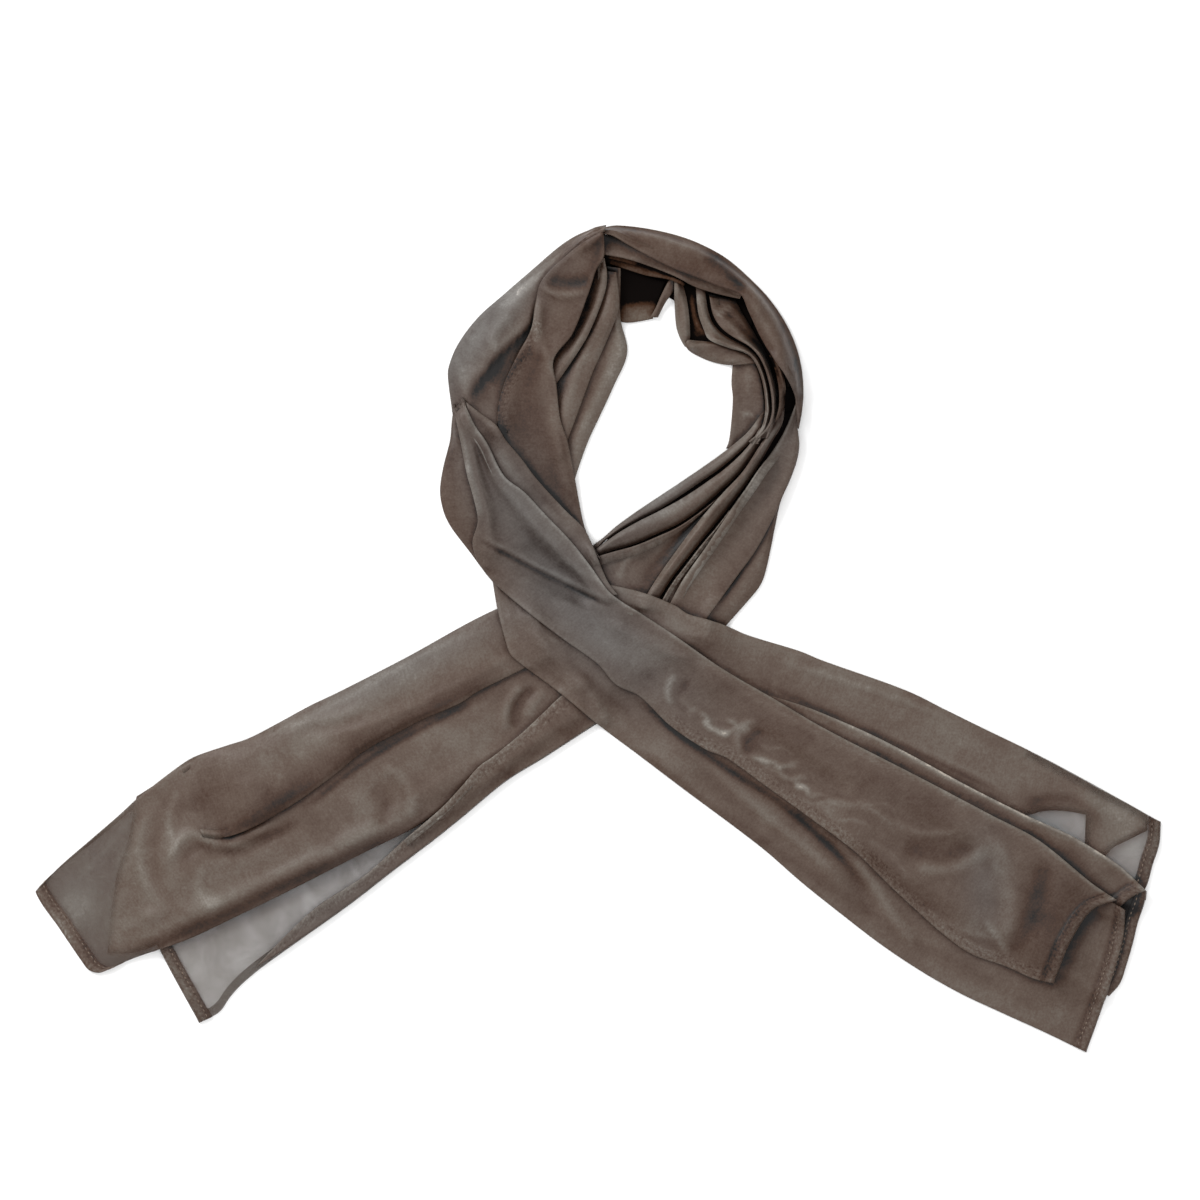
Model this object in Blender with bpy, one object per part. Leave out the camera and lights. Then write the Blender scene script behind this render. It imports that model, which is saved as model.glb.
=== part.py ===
"""A sheer mesh scarf laid flat in a loop, with its two ends crossing below the loop.

The scarf is one rectangle of cloth, 1.60 m by 0.56 m, gathered into a loose strand.
The strand starts at the left end, passes under the crossing, goes up the right side of the
loop, over its top and down its left side, then over the crossing to the right end.
Seen from above it shows stretches of cloth that lie on each other: panels, pleats and rolls.
Each stretch is a wall of cloth between two edges, and each lies on what is under it.
The layers that nothing shows of share a few rounded solids, the cores.

All the tables are in millimetres, seen from above: +X to the right, +Y towards the loop's top.
"""
import bpy
import bmesh
import math
import numpy as np
from collections import namedtuple

# Driving sizes, in metres
SPREAD = 0.845          # the scarf as it lies, from its left end to its right end
DEPTH = 0.620           # from the loop's top to the lowest corner of the right end
CLOTH_WALL = 0.0016     # wall of one stretch of cloth, with the turned layer under it
CORE_WALL = 0.0020      # a core's edge, before it rounds up
CLEARANCE = 0.0004      # left between cloth and the cloth it lies on
HEM_WIDTH = 0.010       # the hem at each short end, turned twice
HEM_RISE = 0.0008       # how far the hem's layers stand above the cloth
CELL = 0.013            # size of one facet across open cloth
FINE_CELL = 0.0095      # and across a narrow pleat
LAY_STEP = 0.001        # grid of the height map that the cloth is laid on
LAY_PASSES = 14         # turns of raising a stretch until it clears what is under it
LINE_POINTS = 300       # points along each smooth edge
ROW_POINTS = 24         # of them between two rows of a table
END_SHARE = 1 / 6       # share of a stretch's length over which its rise fades at each end
LEAST_RISE = 0.25       # what is left of its rise at the very end
MM = 0.001

CLOTH_BROWN = (0.147, 0.119, 0.096, 1.0)
CLOTH_GREY = (0.205, 0.182, 0.162, 1.0)
CLOTH_SHADE = (0.078, 0.056, 0.045, 1.0)
CLOTH_ROUGHNESS = 0.55

# One stretch of cloth: near and far are its two long edges, rows of (x, y) or (x, y, lift),
# where lift is the least height of its underside. end is the outline of its far short end.
# rise rounds it up in the middle, hem thickens its end, and swell is a list of soft humps.
Stretch = namedtuple("Stretch", "name colour near far end wall rise hem swell cell",
                     defaults=((), CLOTH_WALL, 0.0, False, (), CELL))
# A soft hump: middle, radius and height
Swell = namedtuple("Swell", "x y radius height")

# The strand's lower turn: what runs under the crossing and on to the left end
UNDER_CROSSING = [
    Stretch("core_crossing", CLOTH_SHADE,
            near=[(14, 36), (-25, 25), (-64, 12)],
            far=[(82, 2), (38, -22), (-4, -48)],
            wall=CORE_WALL, rise=0.006),
]

# Pleats down the loop's right side, from the neck hole outwards, over their core
RIGHT_SIDE = [
    Stretch("core_right_side", CLOTH_SHADE,
            near=[(119, 162), (104, 143), (88, 133), (66, 118), (46, 105), (28, 92), (10, 78),
                  (2, 66), (4, 52), (9, 38)],
            far=[(149, 172), (148, 158), (140, 134), (132, 112), (118, 88), (100, 60), (88, 38),
                 (79, 12)],
            wall=CORE_WALL, rise=0.002),
    Stretch("right_pleat_inner", CLOTH_GREY,
            near=[(100, 146), (97, 141), (83, 132), (64, 119), (46, 107), (28, 95), (13, 84),
                  (4, 76), (-4, 70), (-7, 66)],
            far=[(112, 146), (104, 138), (92, 128), (76, 117), (60, 106), (46, 97), (31, 89),
                 (18, 82), (6, 74), (-1, 67)],
            rise=0.003, cell=FINE_CELL),
    Stretch("right_pleat_second", CLOTH_BROWN,
            near=[(121, 158), (112, 144), (98, 130), (82, 118), (64, 106), (46, 96), (30, 88), (16, 80),
                  (6, 73), (-2, 67)],
            far=[(129, 156), (118, 139), (104, 122), (90, 109), (75, 96), (60, 86), (45, 79), (28, 71),
                 (10, 66), (0, 61)],
            rise=0.006, cell=FINE_CELL),
    Stretch("right_panel_flat", CLOTH_GREY,
            near=[(104, 119), (90, 106), (75, 94), (60, 84), (45, 77), (28, 70), (10, 65),
                  (-3, 61)],
            far=[(100, 112), (86, 98), (76, 85), (66, 73), (56, 60), (47, 48), (38, 35), (31, 24)],
            end=[(-3, 61), (2, 46), (14, 33), (31, 24)]),
    Stretch("right_pleat_third", CLOTH_BROWN,
            near=[(131, 172), (129, 158), (121, 145), (108, 125), (94, 110), (80, 94), (68, 79), (57, 64),
                  (47, 50), (38, 36), (33, 26)],
            far=[(140, 173), (138, 161), (130, 147), (120, 129), (106, 109), (92, 91), (78, 74), (66, 59),
                 (56, 46), (47, 32), (43, 23)],
            rise=0.006, cell=FINE_CELL),
    Stretch("right_selvedge_band", CLOTH_GREY,
            near=[(98, 96), (88, 83), (77, 70), (67, 57), (57, 44), (50, 33), (46, 25)],
            far=[(104, 95), (95, 82), (85, 68), (75, 55), (67, 44), (60, 33), (56, 23)],
            cell=FINE_CELL),
    Stretch("right_outer_fold", CLOTH_BROWN,
            near=[(147, 152), (142, 124), (134, 102), (124, 84), (110, 64), (97, 46), (84, 28),
                  (74, 12), (68, 2)],
            far=[(150, 156), (151, 145), (149, 133), (144, 119), (137, 103), (133, 85), (129, 65),
                 (125, 48), (121, 39), (112, 28), (96, 10), (88, 2)],
            rise=0.003),
    Stretch("right_outer_panel", CLOTH_BROWN,
            near=[(149, 178, 4), (144, 166, 7), (138, 153, 8), (130, 140, 8), (120, 127, 8),
                  (112, 115, 8), (100, 98, 7), (90, 83, 7), (80, 68, 6), (70, 54, 6),
                  (62, 42, 6), (54, 27, 6), (50, 19, 6)],
            far=[(151, 172), (150, 157), (148, 142), (144, 124), (138, 106), (131, 90), (118, 66),
                 (105, 48), (92, 30), (82, 16), (76, 6)],
            rise=0.001),
]

# The scarf's left end, which comes out from under the crossing
LEFT_END = [
    Stretch("core_left_end", CLOTH_SHADE,
            near=[(-68, 6), (-105, 0), (-146, -19), (-195, -45), (-238, -69), (-273, -84),
                  (-303, -94), (-325, -105), (-346, -118)],
            far=[(-20, -50), (-60, -74), (-108, -99), (-160, -131), (-208, -158), (-283, -192),
                 (-330, -203), (-365, -218)],
            end=[(-346, -118), (-353, -154), (-361, -178), (-365, -218)],
            wall=0.0014, rise=0.004),
    Stretch("left_end_lower_panel", CLOTH_GREY,
            near=[(-14, -52), (-60, -78), (-108, -103), (-160, -135), (-208, -162), (-283, -196),
                  (-310, -203), (-337, -208)],
            far=[(2, -62), (-9, -69), (-40, -89), (-69, -107), (-103, -135), (-123, -151),
                 (-152, -173), (-187, -200), (-232, -232), (-254, -248), (-268, -260),
                 (-276, -269), (-284, -280), (-299, -288)],
            end=[(-337, -208), (-329, -232), (-299, -288)],
            hem=True),
    Stretch("left_end_upper_panel", CLOTH_BROWN,
            near=[(-58, -10), (-130, -50), (-210, -88), (-255, -90), (-292, -88), (-319, -100),
                  (-347, -121), (-359, -132), (-381, -151), (-404, -171), (-417, -185)],
            far=[(-24, -58), (-60, -86), (-100, -116), (-115, -126, 3), (-135, -140, 4),
                 (-175, -160, 4), (-232, -189, 4), (-273, -209, 4), (-307, -225, 2),
                 (-327, -232), (-347, -239), (-364, -246)],
            end=[(-417, -185), (-421, -190), (-403, -217), (-386, -242), (-381, -248),
                 (-373, -250), (-364, -246)],
            hem=True,
            swell=[Swell(-300, -175, 60, 5), Swell(-200, -150, 50, 4), Swell(-120, -95, 45, 3)]),
    Stretch("left_end_turned_edge", CLOTH_GREY,
            near=[(-12, -32), (-26, -41), (-44, -58), (-58, -71), (-79, -88), (-89, -95),
                  (-102, -110), (-118, -127), (-146, -151), (-175, -177), (-210, -200),
                  (-235, -223), (-254, -243)],
            far=[(4, -59), (-9, -68), (-40, -88), (-69, -106), (-103, -134), (-123, -150),
                 (-152, -172), (-187, -199), (-232, -231), (-256, -246)],
            cell=FINE_CELL),
    Stretch("left_end_top_roll", CLOTH_BROWN,
            near=[(-52, 26), (-75, 23), (-146, -15), (-195, -40), (-216, -50), (-238, -62),
                  (-261, -73), (-284, -80), (-303, -87), (-312, -94)],
            far=[(-38, -12), (-55, -22), (-65, -27), (-91, -40), (-103, -48), (-133, -61),
                 (-146, -68), (-175, -84), (-195, -100), (-218, -117), (-235, -128),
                 (-256, -140), (-278, -148), (-296, -147)],
            rise=0.004,
            swell=[Swell(-170, -62, 45, 4), Swell(-260, -118, 40, 4)]),
]

# The neck hole's upper rim: the loop's back, its pleats and the rolled top, over their cores
LOOP_TOP = [
    Stretch("core_loop_back", CLOTH_SHADE,
            near=[(0, 290), (20, 286), (45, 280), (65, 272), (85, 265), (110, 252)],
            far=[(3, 262), (18, 250), (46, 258), (66, 247), (84, 229), (100, 218)],
            wall=0.0012, rise=0.0005),
    Stretch("core_loop_bend", CLOTH_SHADE,
            near=[(110, 253), (123, 231), (135, 210), (143, 194), (147, 178), (148, 164)],
            far=[(92, 231), (104, 222), (114, 212), (120, 197), (124, 178), (122, 154)],
            wall=0.0012, rise=0.0005),
    Stretch("core_loop_top", CLOTH_SHADE,
            near=[(6, 302), (20, 303), (50, 298), (80, 287), (105, 268), (128, 243), (141, 213),
                  (146, 190)],
            far=[(6, 290), (20, 287), (45, 281), (65, 273), (85, 266), (108, 256), (120, 236),
                 (131, 216), (139, 198), (143, 188)],
            wall=0.012, rise=0.006, cell=FINE_CELL),
    Stretch("loop_back_band", CLOTH_BROWN,
            near=[(12, 282), (22, 278), (36, 272), (51, 268)],
            far=[(16, 238), (22, 237), (31, 238), (41, 240)],
            end=[(51, 268), (47, 257), (41, 240)], cell=FINE_CELL),
    Stretch("loop_box_pleat_left", CLOTH_BROWN,
            near=[(39, 241), (43, 248, 2), (47, 257, 4), (51, 265, 6), (54, 270, 8)],
            far=[(45, 241), (50, 251, 2), (54, 257, 4), (57, 262, 6), (57, 269, 8)],
            cell=FINE_CELL),
    Stretch("loop_box_panel", CLOTH_SHADE,
            near=[(64, 266), (65, 250), (66, 235), (66, 220)],
            far=[(80, 262), (80, 246), (84, 232), (93, 217)],
            cell=FINE_CELL),
    Stretch("loop_box_pleat_right", CLOTH_GREY,
            near=[(57, 268, 6), (57, 257, 4), (57.5, 247, 3), (58, 239, 3), (59, 232, 3),
                  (62, 224, 3), (65, 219, 3)],
            far=[(63, 267, 6), (66, 257, 4), (68, 245, 3), (69, 232, 3), (69, 219, 3)],
            rise=0.003, cell=FINE_CELL),
    Stretch("loop_inner_panel", CLOTH_BROWN,
            near=[(101, 207), (100, 192), (101, 181), (100, 164), (98, 148), (97, 143)],
            far=[(117, 209), (121, 198), (124, 184), (125, 170), (122, 158), (114, 148)]),
    Stretch("loop_bulge", CLOTH_GREY,
            near=[(65, 220), (68, 216), (75, 212), (83, 208.5), (92, 206), (101, 205)],
            far=[(67, 224), (80, 223), (92, 221), (104, 217), (115, 211), (119, 206)],
            rise=0.003, cell=FINE_CELL),
    Stretch("loop_fold_first", CLOTH_GREY,
            near=[(73, 264), (75, 244), (79, 232), (83, 224), (97, 218), (112, 213), (119, 204),
                  (124, 188), (125, 170), (122, 158), (114, 147)],
            far=[(80, 262), (83, 244), (88, 234), (97, 226), (112, 218), (121, 208), (127, 191),
                 (129, 172), (126, 158), (118, 146)],
            rise=0.004, cell=FINE_CELL),
    Stretch("loop_fold_second", CLOTH_BROWN,
            near=[(83, 258), (86, 243), (92, 233), (101, 226), (114, 218), (122, 208), (128, 191),
                  (130, 172), (127, 160), (120, 150)],
            far=[(103, 254), (110, 241), (118, 228), (126, 214), (130, 202), (134, 188),
                 (134, 172), (131, 160), (125, 150)],
            rise=0.005, cell=FINE_CELL),
    Stretch("loop_fold_third", CLOTH_SHADE,
            near=[(128, 212), (132, 202), (135, 188), (135, 174), (132, 162)],
            far=[(132, 211), (137, 202), (140, 190), (140, 177), (137, 167)],
            rise=0.003, cell=FINE_CELL),
    Stretch("loop_strip_lower", CLOTH_SHADE,
            near=[(4, 288, 9), (20, 285, 9), (36, 280, 9), (52, 274, 9), (66, 268, 9)],
            far=[(5, 282, 8), (20, 277, 8), (36, 272, 8), (52, 269, 8), (64, 264, 8)],
            cell=FINE_CELL),
    Stretch("loop_strip_upper", CLOTH_SHADE,
            near=[(4, 295, 14), (20, 292, 14), (34, 289, 14), (50, 283, 14), (66, 276, 14),
                  (82, 270, 14), (98, 264, 14), (108, 260, 13)],
            far=[(4, 287, 12), (20, 284, 12), (40, 278, 12), (57, 271, 12), (73, 263, 12),
                 (89, 258, 12), (106, 254, 12)],
            cell=FINE_CELL),
]

# The neck hole's left side, from the hole outwards, and the loop's rolled top over its end
LOOP_LEFT = [
    Stretch("core_loop_left", CLOTH_SHADE,
            near=[(-8, 297), (-35, 278), (-70, 248), (-97, 215), (-104, 180), (-106, 140),
                  (-106, 105), (-84, 66)],
            far=[(-14, 284), (-35, 262), (-53, 225), (-56, 180), (-50, 150), (-42, 128),
                 (-30, 106), (-16, 84)],
            wall=CORE_WALL, rise=0.008),
    Stretch("loop_left_inner_strip", CLOTH_GREY,
            near=[(4, 274), (0, 245), (-14, 205), (-28, 165), (-34, 135), (-29, 108)],
            far=[(17, 271), (17, 240), (22, 215), (12, 190), (0, 164), (-7, 149), (-14, 130),
                 (-18, 117), (-21, 106)],
            rise=0.002),
    Stretch("loop_left_middle_strip", CLOTH_BROWN,
            near=[(-2, 276), (-8, 242), (-33, 208), (-44, 172), (-42, 148)],
            far=[(14, 274, 2), (16, 250, 3), (12, 236, 3), (-4, 199, 3), (-17, 164, 3),
                 (-24, 146, 2), (-29, 136)],
            rise=0.003),
    Stretch("loop_left_outer_strip", CLOTH_BROWN,
            near=[(-12, 282), (-14, 256), (-27, 222), (-42, 198), (-48, 182)],
            far=[(5, 284, 6), (7, 272, 6), (5, 258, 6), (-7, 228, 6), (-18, 210, 6),
                 (-31, 191, 6), (-38, 179, 3)],
            rise=0.003),
    Stretch("loop_top_roll", CLOTH_BROWN,
            near=[(-4, 305), (7, 309), (16, 310), (40, 307), (64, 301), (83, 293), (97, 284),
                  (112, 272), (127, 258), (139, 241), (148, 223), (153, 205), (154.5, 187),
                  (152, 173)],
            far=[(-6, 297, 20), (6, 302, 22), (24, 293, 22), (35, 287, 22), (55, 277, 22),
                 (73, 270, 22), (93, 262, 21), (106, 257, 20), (112, 245, 19), (121, 226, 17),
                 (131, 209, 15), (141, 195, 13), (148, 183, 11), (149, 176, 9)],
            cell=FINE_CELL),
    Stretch("loop_left_outer_band", CLOTH_GREY,
            near=[(6, 309.5), (-13, 304), (-28, 295), (-48, 278), (-71, 258), (-90, 241),
                  (-105, 221), (-112, 204), (-112.5, 195), (-109, 168), (-108, 158)],
            far=[(5, 304, 22), (-9, 295, 18), (-26, 280, 14), (-44, 263, 11), (-54, 248, 9),
                 (-64, 233, 9), (-74, 211, 8), (-82, 195, 8), (-86, 178, 6), (-88, 164, 6)],
            swell=[Swell(-82, 225, 28, 5)]),
    Stretch("loop_left_panel", CLOTH_BROWN,
            near=[(3, 304, 24), (-9, 297, 22), (-23, 287, 18), (-42, 268, 15), (-47, 250, 12),
                  (-50, 232, 9), (-60, 213, 8), (-70, 192, 8), (-75, 173, 8), (-70, 158, 8),
                  (-60, 142, 8), (-45, 120, 8), (-28, 98, 7), (-14, 82, 5), (-4, 66, 4)],
            far=[(4.5, 300, 24), (4.5, 285, 22), (-1, 276, 20), (-6, 261, 18), (-19, 228, 15),
                 (-33, 209, 13), (-31, 190, 11), (-28, 164, 8), (-23, 149, 6), (-17, 119, 3),
                 (-13, 97, 2), (-10, 84, 2), (-5, 72, 2), (3, 58, 4)],
            rise=0.001),
]

# The strand's upper turn: over the crossing and on to the right end, lowest layer first
RIGHT_END = [
    Stretch("right_end_inner_hem_layer", CLOTH_SHADE,
            near=[(110, -30), (170, -62), (230, -90), (290, -118), (330, -124), (367, -127)],
            far=[(120, -8), (170, -24), (230, -48), (290, -76), (340, -100), (367, -114)]),
    Stretch("right_end_corner_layer", CLOTH_SHADE,
            near=[(370, -152), (383, -157), (398, -150), (411, -143)],
            far=[(370, -116), (383, -121), (398, -129), (410, -135)]),
    Stretch("core_right_end", CLOTH_SHADE,
            near=[(30, -40), (110, -100), (180, -150), (240, -190), (300, -215), (340, -232)],
            far=[(92, -28), (150, -60), (220, -100), (290, -135), (330, -152), (366, -172)],
            wall=0.0014, rise=0.0035),
    Stretch("right_end_upper_panel", CLOTH_BROWN,
            near=[(-2, 26), (56, -12), (126, -56), (226, -110), (306, -150), (356, -175),
                  (403, -198)],
            far=[(8, 41), (33, 35), (58, 25), (67, 19), (81, 15), (96, 10), (112, 3), (151, -9),
                 (168, -16), (232, -39), (268, -57), (334, -89), (393, -121), (416, -134),
                 (422, -137)],
            end=[(403, -198), (411, -186), (416, -169), (421, -153), (422, -137)],
            hem=True, swell=[Swell(90, -8, 26, 4)]),
    Stretch("right_end_fold_under", CLOTH_SHADE,
            near=[(110, -100), (180, -142), (260, -190), (330, -235), (382, -268)],
            far=[(120, -30), (180, -62), (240, -95), (300, -127), (350, -152), (390, -176),
                 (408, -189)],
            end=[(382, -268), (391, -257), (397, -230), (406, -205), (408, -189)],
            hem=True),
    Stretch("right_end_fold_over", CLOTH_BROWN,
            near=[(80, -28), (160, -76), (240, -120), (300, -152), (340, -176), (370, -200),
                  (390, -212)],
            far=[(86, -17), (110, -17), (157, -42), (212, -75), (279, -111), (323, -133), (354, -147),
                 (376, -160), (391, -170), (405, -183), (410, -188)],
            end=[(390, -212), (398, -206), (406, -198), (410, -188)],
            rise=0.001, cell=FINE_CELL),
    Stretch("right_end_lower_panel", CLOTH_BROWN,
            near=[(-79, 43), (-76, 25), (-70, 1), (-66, -11), (-60, -17), (-28, -41), (1, -65),
                  (29, -86), (62, -111), (122, -156), (152, -182), (182, -206), (212, -229),
                  (242, -249), (272, -266), (302, -280), (335, -295), (366, -310)],
            far=[(-66, 46), (-50, 40), (-25, 26), (0, 14), (30, 6), (90, -25), (165, -68),
                 (240, -107), (295, -136), (329, -154), (370, -187), (394, -203)],
            end=[(366, -310), (380, -268), (394, -203)],
            hem=True,
            swell=[Swell(60, -90, 30, 4), Swell(180, -168, 26, 4), Swell(340, -240, 40, 5)]),
    Stretch("loop_left_bump", CLOTH_BROWN,
            near=[(-107, 176), (-109, 167), (-111, 149), (-116, 129), (-118.5, 111), (-116, 96),
                  (-111, 85), (-103, 74), (-96, 65), (-88, 54)],
            far=[(-103, 176), (-99, 160), (-94, 140), (-88, 115), (-83, 100), (-81, 85),
                 (-80, 72), (-80, 56)],
            rise=0.003),
    Stretch("loop_left_crossband", CLOTH_GREY,
            near=[(-105, 172, 9), (-94, 156, 9), (-84, 140, 9), (-72, 118, 9), (-56, 98, 9),
                  (-38, 78, 9), (-18, 58, 9), (-4, 42, 9), (6, 30, 9)],
            far=[(-102, 180, 9), (-88, 169, 10), (-76, 160, 11), (-69, 149, 11), (-58, 136, 11),
                 (-46, 120, 11), (-25, 97, 10), (-10, 82, 8), (-4, 70, 8), (7, 44, 9),
                 (15, 33, 9)],
            rise=0.001),
    Stretch("right_end_front_panel", CLOTH_BROWN,
            near=[(-108, 172), (-103, 149), (-98, 123), (-93, 105), (-90, 88), (-94, 72),
                  (-90, 58), (-79, 43), (-55, 22), (-25, -1), (0, -19), (13, -34), (31, -43),
                  (54, -65), (81, -83), (96, -89), (124, -109), (160, -135), (192, -159),
                  (226, -192), (274, -233), (307, -246), (325, -254), (340, -259)],
            far=[(-101, 179), (-92, 160), (-83, 147), (-70, 122), (-55, 110), (-40, 94),
                 (-20, 73), (-5, 54), (8, 36), (18, 28), (31, 20), (57, 3), (93, -22),
                 (134, -46), (168, -66), (240, -103), (295, -132), (329, -150), (370, -183),
                 (385, -193)],
            end=[(340, -259), (347, -248), (355, -230), (363, -213), (374, -201), (385, -193)],
            hem=True,
            swell=[Swell(-60, 60, 40, 4), Swell(60, -40, 34, 3), Swell(200, -130, 40, 4),
                   Swell(335, -200, 45, 7)]),
]

SCARF = UNDER_CROSSING + RIGHT_SIDE + LEFT_END + LOOP_TOP + LOOP_LEFT + RIGHT_END


def smooth_line(rows):
    """A smooth line through the rows, as points an equal way apart, in metres."""
    knots = np.array([(row + (0.0,))[:3] for row in rows], float) * MM
    if len(knots) == 2:
        return knots[0] + (knots[1] - knots[0]) * np.linspace(0, 1, LINE_POINTS)[:, None]
    before = 2 * knots[0] - knots[1]
    after = 2 * knots[-1] - knots[-2]
    ring = np.vstack([before, knots, after])
    pieces = []
    for i in range(1, len(ring) - 2):
        p0, p1, p2, p3 = ring[i - 1:i + 3]
        span = max(np.linalg.norm((p2 - p1)[:2]), 1e-6)
        turn1 = (p2 - p0) * span / max(np.linalg.norm((p2 - p0)[:2]), 1e-6)
        turn2 = (p3 - p1) * span / max(np.linalg.norm((p3 - p1)[:2]), 1e-6)
        t = np.linspace(0, 1, ROW_POINTS, endpoint=False)[:, None]
        pieces.append((2 * t**3 - 3 * t**2 + 1) * p1 + (t**3 - 2 * t**2 + t) * turn1
                      + (3 * t**2 - 2 * t**3) * p2 + (t**3 - t**2) * turn2)
    dense = np.vstack(pieces + [knots[-1:]])
    steps = np.linalg.norm(np.diff(dense[:, :2], axis=0), axis=1)
    along = np.concatenate([[0.0], np.cumsum(steps)])
    even = np.linspace(0, along[-1], LINE_POINTS)
    return np.stack([np.interp(even, along, dense[:, k]) for k in range(3)], axis=1)


def read_line(line, share):
    """Points of a smooth line at the given shares of its length."""
    at = np.linspace(0, 1, len(line))
    return np.stack([np.interp(share, at, line[:, k]) for k in range(3)], axis=-1)


def line_length(line):
    return float(np.linalg.norm(np.diff(line[:, :2], axis=0), axis=1).sum())


def hem_shares(length, rows):
    """Shares along a stretch, with a last row for the hem's inner edge."""
    hem = HEM_WIDTH / length
    return np.concatenate([np.linspace(0, 1 - 1.4 * hem, rows - 1), [1 - hem, 1.0]])


def plan_of(stretch):
    """The stretch seen from above: a grid of points between its edges and its ends."""
    near = smooth_line(stretch.near)
    far = smooth_line(stretch.far)
    end = smooth_line(list(stretch.end) or [stretch.near[-1], stretch.far[-1]])
    start = smooth_line([stretch.near[0], stretch.far[0]])
    length = (line_length(near) + line_length(far)) / 2
    width = np.linalg.norm((near - far)[:, :2], axis=1).mean()
    rows = max(4, round(length / stretch.cell))
    columns = max(3, round(width / stretch.cell))
    u = hem_shares(length, rows) if stretch.hem else np.linspace(0, 1, rows + 1)
    v = 0.5 - 0.5 * np.cos(np.pi * np.linspace(0, 1, columns + 1))
    v = (v + np.linspace(0, 1, columns + 1)) / 2
    a, b = read_line(near, u)[:, None], read_line(far, u)[:, None]
    s, e = read_line(start, v)[None], read_line(end, v)[None]
    uu, vv = u[:, None, None], v[None, :, None]
    corners = ((1 - uu) * ((1 - vv) * near[0] + vv * far[0])
               + uu * ((1 - vv) * near[-1] + vv * far[-1]))
    grid = (1 - vv) * a + vv * b + (1 - uu) * s + uu * e - corners
    lift = (1 - vv) * a[..., 2:] + vv * b[..., 2:]
    grid[..., 2:] = lift
    return grid, u, v


def split_quads(corner):
    """Points spread over each facet of a grid, as two triangles, about a step apart."""
    p00, p10 = corner[:-1, :-1], corner[1:, :-1]
    p01, p11 = corner[:-1, 1:], corner[1:, 1:]
    reach = max(np.linalg.norm((p11 - p00)[..., :2], axis=-1).max(),
                np.linalg.norm((p10 - p01)[..., :2], axis=-1).max())
    count = int(math.ceil(reach / LAY_STEP)) + 1
    share = np.linspace(0, 1, count)
    a, b = np.meshgrid(share, share, indexing="ij")
    low = a >= b
    weights = np.stack([np.where(low, 1 - a, 1 - b), np.where(low, a - b, 0),
                        np.where(low, 0, b - a), np.where(low, b, a)], axis=-1)
    facets = np.stack([p00, p10, p01, p11], axis=2)
    points = np.einsum("abk,ijkc->ijabc", weights, facets)
    return points, weights


class Pile:
    """What is laid so far, as a map of heights seen from above."""

    def __init__(self):
        self.low = np.array([-SPREAD / 2 - 0.02, -DEPTH / 2 - 0.02])
        size = np.ceil((-2 * self.low) / LAY_STEP).astype(int)
        self.height = np.zeros(tuple(size))

    def cells(self, points):
        index = np.rint((points[..., :2] - self.low) / LAY_STEP).astype(int)
        return index[..., 0], index[..., 1]

    def around(self):
        """The map with each cell as high as the highest of its neighbours."""
        wide = np.pad(self.height, 1)
        shifts = [wide[i:i + self.height.shape[0], j:j + self.height.shape[1]]
                  for i in range(3) for j in range(3)]
        return np.max(shifts, axis=0)

    def lay(self, grid):
        """Raises a grid's points until every facet clears what is under it."""
        ground = self.around()
        for turn in range(LAY_PASSES):
            points, weights = split_quads(grid)
            x, y = self.cells(points)
            under = ground[x, y]
            short = np.where(under > 0, under + CLEARANCE, 0.0) - points[..., 2]
            short = np.maximum(short, 0.0)
            last = turn == LAY_PASSES - 1
            corner_short = [short.max(axis=(2, 3)) if last
                            else (short * weights[..., k]).max(axis=(2, 3)) for k in range(4)]
            rise = np.zeros(grid.shape[:2])
            for k, (i, j) in enumerate([(0, 0), (1, 0), (0, 1), (1, 1)]):
                place = (slice(i, i + grid.shape[0] - 1), slice(j, j + grid.shape[1] - 1))
                rise[place] = np.maximum(rise[place], corner_short[k])
            grid[..., 2] += rise
        return grid

    def add(self, grid):
        points, _ = split_quads(grid)
        x, y = self.cells(points)
        np.maximum.at(self.height, (x, y), points[..., 2])


def soften(grid):
    """Cloth bends gently: each point of the sheet moves towards its neighbours' height."""
    z = grid[..., 2]
    edge = np.pad(z, 1, mode="edge")
    beside = (edge[:-2, 1:-1] + edge[2:, 1:-1] + edge[1:-1, :-2] + edge[1:-1, 2:]) / 4
    resting = z < 1e-6
    grid[..., 2] = np.where(resting, z, (z + beside) / 2)


def thickness_of(stretch, u, v):
    """Wall of the stretch at each point: rounded across, thicker at its hem."""
    across = np.sqrt(np.clip(1 - (2 * v - 1) ** 2, 0, 1))
    ends = np.clip(np.minimum(u, 1 - u) / END_SHARE, LEAST_RISE, 1)
    wall = stretch.wall + stretch.rise * ends[:, None] * across[None, :]
    if stretch.hem:
        wall[-2:] += HEM_RISE
    return wall


def swell_of(stretch, grid):
    height = np.zeros(grid.shape[:2])
    for hump in stretch.swell:
        away = np.hypot(grid[..., 0] - hump.x * MM, grid[..., 1] - hump.y * MM)
        height += hump.height * MM * np.exp(-(away / (hump.radius * MM)) ** 2 * 2)
    return height


def fabric(colour):
    """Woven mesh cloth in one of the scarf's shades."""
    name = "scarf_cloth_%02x" % round(colour[0] * 255)
    material = bpy.data.materials.get(name)
    if material:
        return material
    material = bpy.data.materials.new(name)
    material.use_nodes = True
    surface = material.node_tree.nodes["Principled BSDF"]
    surface.inputs["Base Color"].default_value = colour
    surface.inputs["Roughness"].default_value = CLOTH_ROUGHNESS
    surface.inputs["Metallic"].default_value = 0.0
    material.diffuse_color = colour
    return material


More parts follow.
